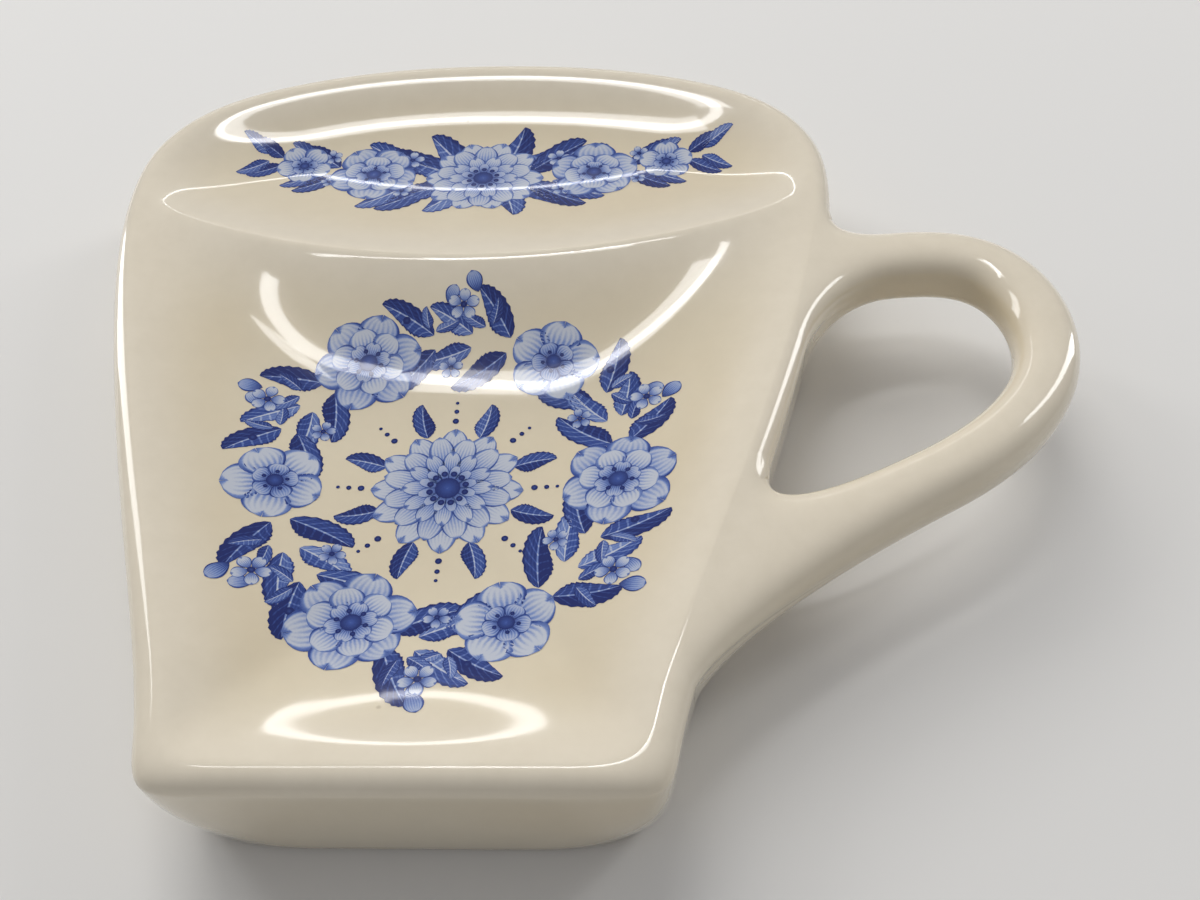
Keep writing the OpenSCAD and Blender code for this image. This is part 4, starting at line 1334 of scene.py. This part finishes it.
def print_tree():
    """The tree that sets motifs on a layout's points, draws its stems and lays all on the dish."""
    labels = RELIEF_INPUTS + ("Stem Width", "Lift", "Layer", "Collection", "Object", "Material")
    tree, geometry, sizes = geometry_tree("print_lay", labels)
    is_motif = tree.stored("is_motif")
    pick = tree.node("GeometryNodeSeparateGeometry", {"domain": "POINT"},
                     {"Geometry": geometry, "Selection": is_motif.over(0.5)})
    motifs = tree.node("GeometryNodeCollectionInfo", {"transform_space": "ORIGINAL"},
                       {"Collection": sizes["Collection"], "Separate Children": True, "Reset Children": True})
    turn = tree.vector(0.0, 0.0, tree.stored("turn"))
    scale = tree.vector(tree.stored("size"), tree.stored("width"), 1.0)
    placed_motifs = tree.node("GeometryNodeInstanceOnPoints", sockets={
        "Points": pick.outputs["Selection"],
        "Instance": motifs.outputs[0],
        "Pick Instance": True,
        "Instance Index": tree.stored("motif"),
        "Rotation": turn,
        "Scale": scale,
    })
    real = tree.node("GeometryNodeRealizeInstances", sockets={"Geometry": placed_motifs.outputs[0]})
    curve = tree.node("GeometryNodeMeshToCurve", sockets={"Mesh": pick.outputs["Inverted"]})
    half = sizes["Stem Width"] / 2.0
    profile = tree.node("GeometryNodeCurvePrimitiveLine", sockets={
        "Start": tree.vector(0.0, half, 0.0), "End": tree.vector(0.0, -half, 0.0)})
    stems = tree.node("GeometryNodeCurveToMesh", sockets={
        "Curve": curve.outputs[0], "Profile Curve": profile.outputs[0]})
    both = tree.node("GeometryNodeJoinGeometry")
    tree.links.new(real.outputs[0], both.inputs[0])
    tree.links.new(stems.outputs[0], both.inputs[0])
    x, y, _ = tree.parts(tree.node("GeometryNodeInputPosition").outputs[0])
    dish = tree.node("GeometryNodeObjectInfo", {"transform_space": "ORIGINAL"}, {"Object": sizes["Object"]})
    ray = tree.node("GeometryNodeRaycast", {"data_type": "FLOAT_VECTOR"}, {
        "Target Geometry": dish.outputs["Geometry"],
        "Attribute": tree.stored("shares", "FLOAT_VECTOR"),
        "Source Position": tree.vector(x, y, RAY_START_H),
        "Ray Direction": (0.0, 0.0, -1.0),
        "Ray Length": RAY_LENGTH,
    })
    lift = sizes["Lift"] + sizes["Layer"] * tree.stored("ink_layer")
    height = relief(tree, ray.outputs["Attribute"], sizes) + lift
    laid = tree.node("GeometryNodeSetPosition", sockets={
        "Geometry": both.outputs[0], "Position": tree.vector(x, y, height)})
    finish_tree(tree, laid.outputs[0], sizes["Material"])
    return tree


def make_print(context, name, layout, dish_piece, collection):
    """One print as a thin mesh that lies on the dish."""
    scene = context.scene
    dish, prints = scene.tea_rest_dish, scene.tea_rest_prints
    values = relief_values(dish)
    values.update({
        "Stem Width": STEM_W,
        "Lift": prints.print_lift,
        "Layer": prints.layer_t,
        "Collection": collection,
        "Object": dish_piece,
        "Material": cached("blue_print", blue_ink, scene.tea_rest_looks),
    })
    return run_tree(layout_object(layout, f"{name}_layout"), print_tree(), values, name)


def ride(piece, slot, *nodes):
    """The piece stands for the frame's nodes and rides on the one body; slot is not used."""
    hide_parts(*nodes)
    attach(piece, BODY)


class TEABAGREST_OT_dish(bpy.types.Operator):
    """Makes the dish from its plan and its relief tree"""

    bl_idname = "teabagrest.dish"
    bl_label = "Make the dish"

    def execute(self, context):
        sizes = context.scene.tea_rest_dish
        values = relief_values(sizes)
        values.update({
            "Well Wall": sizes.wall_t,
            "Mouth Wall": sizes.mouth_wall_t,
            "Material": cached("ivory_glaze", ivory_glaze, context.scene.tea_rest_looks),
        })
        piece = run_tree(dish_plan_mesh(CupPlan(sizes)), relief_tree(), values, "glazed_dish")
        ride(piece, "ivory_glaze", "dish")
        return {"FINISHED"}


class TEABAGREST_OT_handle(bpy.types.Operator):
    """Makes the loop handle and the two layers of slip that lute it on"""

    bl_idname = "teabagrest.handle"
    bl_label = "Make the handle"

    def execute(self, context):
        scene = context.scene
        loop = Loop(CupPlan(scene.tea_rest_dish), scene.tea_rest_handle)
        glaze = cached("ivory_glaze", ivory_glaze, scene.tea_rest_looks)
        handle = finished("loop_handle", *handle_mesh(loop), glaze)
        ride(handle, "ivory_glaze", "handle")
        slip = cached("slip", slip_clay, scene.tea_rest_looks)
        for name, node, root in (("upper_slip", "upper_slip_joint", UPPER_ROOT),
                                 ("lower_slip", "lower_slip_joint", LOWER_ROOT)):
            ride(finished(name, *slip_mesh(loop, root), slip), "slip", node)
        return {"FINISHED"}


class TEABAGREST_OT_prints(bpy.types.Operator):
    """Lays the two printed sprays on the dish"""

    bl_idname = "teabagrest.prints"
    bl_label = "Lay the prints"

    def execute(self, context):
        scene = context.scene
        plan = CupPlan(scene.tea_rest_dish)
        dish_piece = bpy.data.objects["glazed_dish"]
        collection = motif_collection()
        layouts = (("well_spray", "well_print", well_layout), ("mouth_garland", "mouth_print", mouth_layout))
        for name, node, make in layouts:
            piece = make_print(context, name, make(plan, scene.tea_rest_prints), dish_piece, collection)
            ride(piece, "blue_print", node)
        for motif in list(collection.objects):
            bpy.data.objects.remove(motif)
        bpy.data.collections.remove(collection)
        return {"FINISHED"}


class TEABAGREST_OT_stage(bpy.types.Operator):
    """Sets the camera, the floor and the light"""

    bl_idname = "teabagrest.stage"
    bl_label = "Set the stage"

    def execute(self, context):
        stage = context.scene.tea_rest_stage
        set_camera(context, stage)
        set_floor(stage)
        set_light(context, stage)
        context.scene.view_settings.view_transform = "Standard"
        return {"FINISHED"}


FLOOR_HALF = 3.0
FLOOR_GAP = 0.00004

# The lamps: where each stands, its width and length, and its power. Their reflections are the lines on
# the glaze, but the key's own is kept out of them
LAMPS = (
    ("overhead_strip", (-0.11, 0.265, 0.77), (0.50, 0.038), 0.49),
    ("overhead_middle", (-0.05, 0.27, 0.77), (0.26, 0.10), 0.48),
    ("far_strip", (-0.09, 0.72, 0.36), (0.54, 0.012), 0.15),
    ("left_strip", (-0.60, 0.39, 0.34), (0.17, 0.62), 1.5),
    ("right_strip", (0.62, 0.38, 0.38), (0.11, 0.62), 1.25),
    ("soft_key", (-0.454, 1.022, 1.136), (0.9, 0.9), 8.9),
)
LAMP_AIM = (0.0, 0.0, 0.01)
KEY_TINT = (1.0, 0.98, 0.95)


def set_camera(context, stage):
    """The camera at the photograph's angle, which looks at the aim and is turned by the roll."""
    eye, aim = (Vector(placed([tuple(point)])[0]) for point in (stage.eye, stage.aim))
    data = bpy.data.cameras.new(shared_name("camera"))
    data.lens = stage.lens
    data.sensor_width = 36.0
    data.clip_start = 0.001
    camera = linked_object("camera", data)
    camera.location = eye
    camera.rotation_mode = "QUATERNION"
    look = (aim - eye).to_track_quat("-Z", "Y").to_matrix().to_4x4()
    camera.rotation_quaternion = (look @ Matrix.Rotation(stage.roll, 4, "Z")).to_quaternion()
    context.scene.camera = camera


def set_floor(stage):
    """A plane a hair below the foot ring, so that the two never share a height."""
    ways = ((-1, -1), (1, -1), (1, 1), (-1, 1))
    corners = [(x * FLOOR_HALF, y * FLOOR_HALF, -FLOOR_GAP) for x, y in ways]
    floor = mesh_object("floor", corners, [(0, 1, 2, 3)])
    floor.data.materials.append(plain_floor(stage))


def area_light(name, place, size, power):
    """A rectangular lamp turned to the part, its length as upright as that leaves it."""
    data = bpy.data.lights.new(shared_name(name), "AREA")
    data.shape = "RECTANGLE"
    data.size, data.size_y = size
    data.energy = power
    lamp = linked_object(name, data)
    lamp.location = place
    lamp.rotation_mode = "QUATERNION"
    back = (Vector(place) - Vector(LAMP_AIM)).normalized()
    side = Vector((0.0, 0.0, 1.0)).cross(back).normalized()
    lamp.rotation_quaternion = Matrix((side, back.cross(side), back)).transposed().to_quaternion()
    return lamp


def set_light(context, stage):
    """The lamps, and a soft sky that the camera sees as the backdrop."""
    world = bpy.data.worlds.new(shared_name("sky"))
    tree = empty_tree(world)
    seen = tree.camera_ray()
    tint = tree.mix_colour(seen, stage.sky_tint, stage.backdrop)
    sky = tree.node("ShaderNodeBackground", sockets={"Color": tint, "Strength": mix(stage.sky, 1.0, seen)})
    tree.node("ShaderNodeOutputWorld", sockets={"Surface": sky.outputs[0]})
    context.scene.world = world
    lamps = {name: area_light(name, place, size, power) for name, place, size, power in LAMPS}
    lamps["soft_key"].data.color = KEY_TINT
    lamps["soft_key"].visible_glossy = False


class TEABAGREST_PT_panel(bpy.types.Panel):
    """Lists the steps that make the tea bag rest"""

    bl_idname = "TEABAGREST_PT_panel"
    bl_label = "Tea bag rest"
    bl_space_type = "VIEW_3D"
    bl_region_type = "UI"
    bl_category = "Tea bag rest"

    def draw(self, context):
        for step in STEPS:
            self.layout.operator(step.bl_idname)


STEPS = (TEABAGREST_OT_stage, TEABAGREST_OT_dish, TEABAGREST_OT_handle, TEABAGREST_OT_prints)
GROUPS = {
    "tea_rest_dish": TeaRestDish,
    "tea_rest_handle": TeaRestHandle,
    "tea_rest_prints": TeaRestPrints,
    "tea_rest_looks": TeaRestLooks,
    "tea_rest_stage": TeaRestStage,
}


def register():
    for name, group in GROUPS.items():
        bpy.utils.register_class(group)
        setattr(bpy.types.Scene, name, PointerProperty(type=group))
    for step in STEPS + (TEABAGREST_PT_panel,):
        bpy.utils.register_class(step)


def unregister():
    for step in (TEABAGREST_PT_panel,) + STEPS[::-1]:
        bpy.utils.unregister_class(step)
    for name, group in GROUPS.items():
        delattr(bpy.types.Scene, name)
        bpy.utils.unregister_class(group)


def main():
    register()
    bpy.ops.teabagrest.stage()
    bpy.ops.teabagrest.dish()
    bpy.ops.teabagrest.handle()
    bpy.ops.teabagrest.prints()


if __name__ == "__main__":
    main()
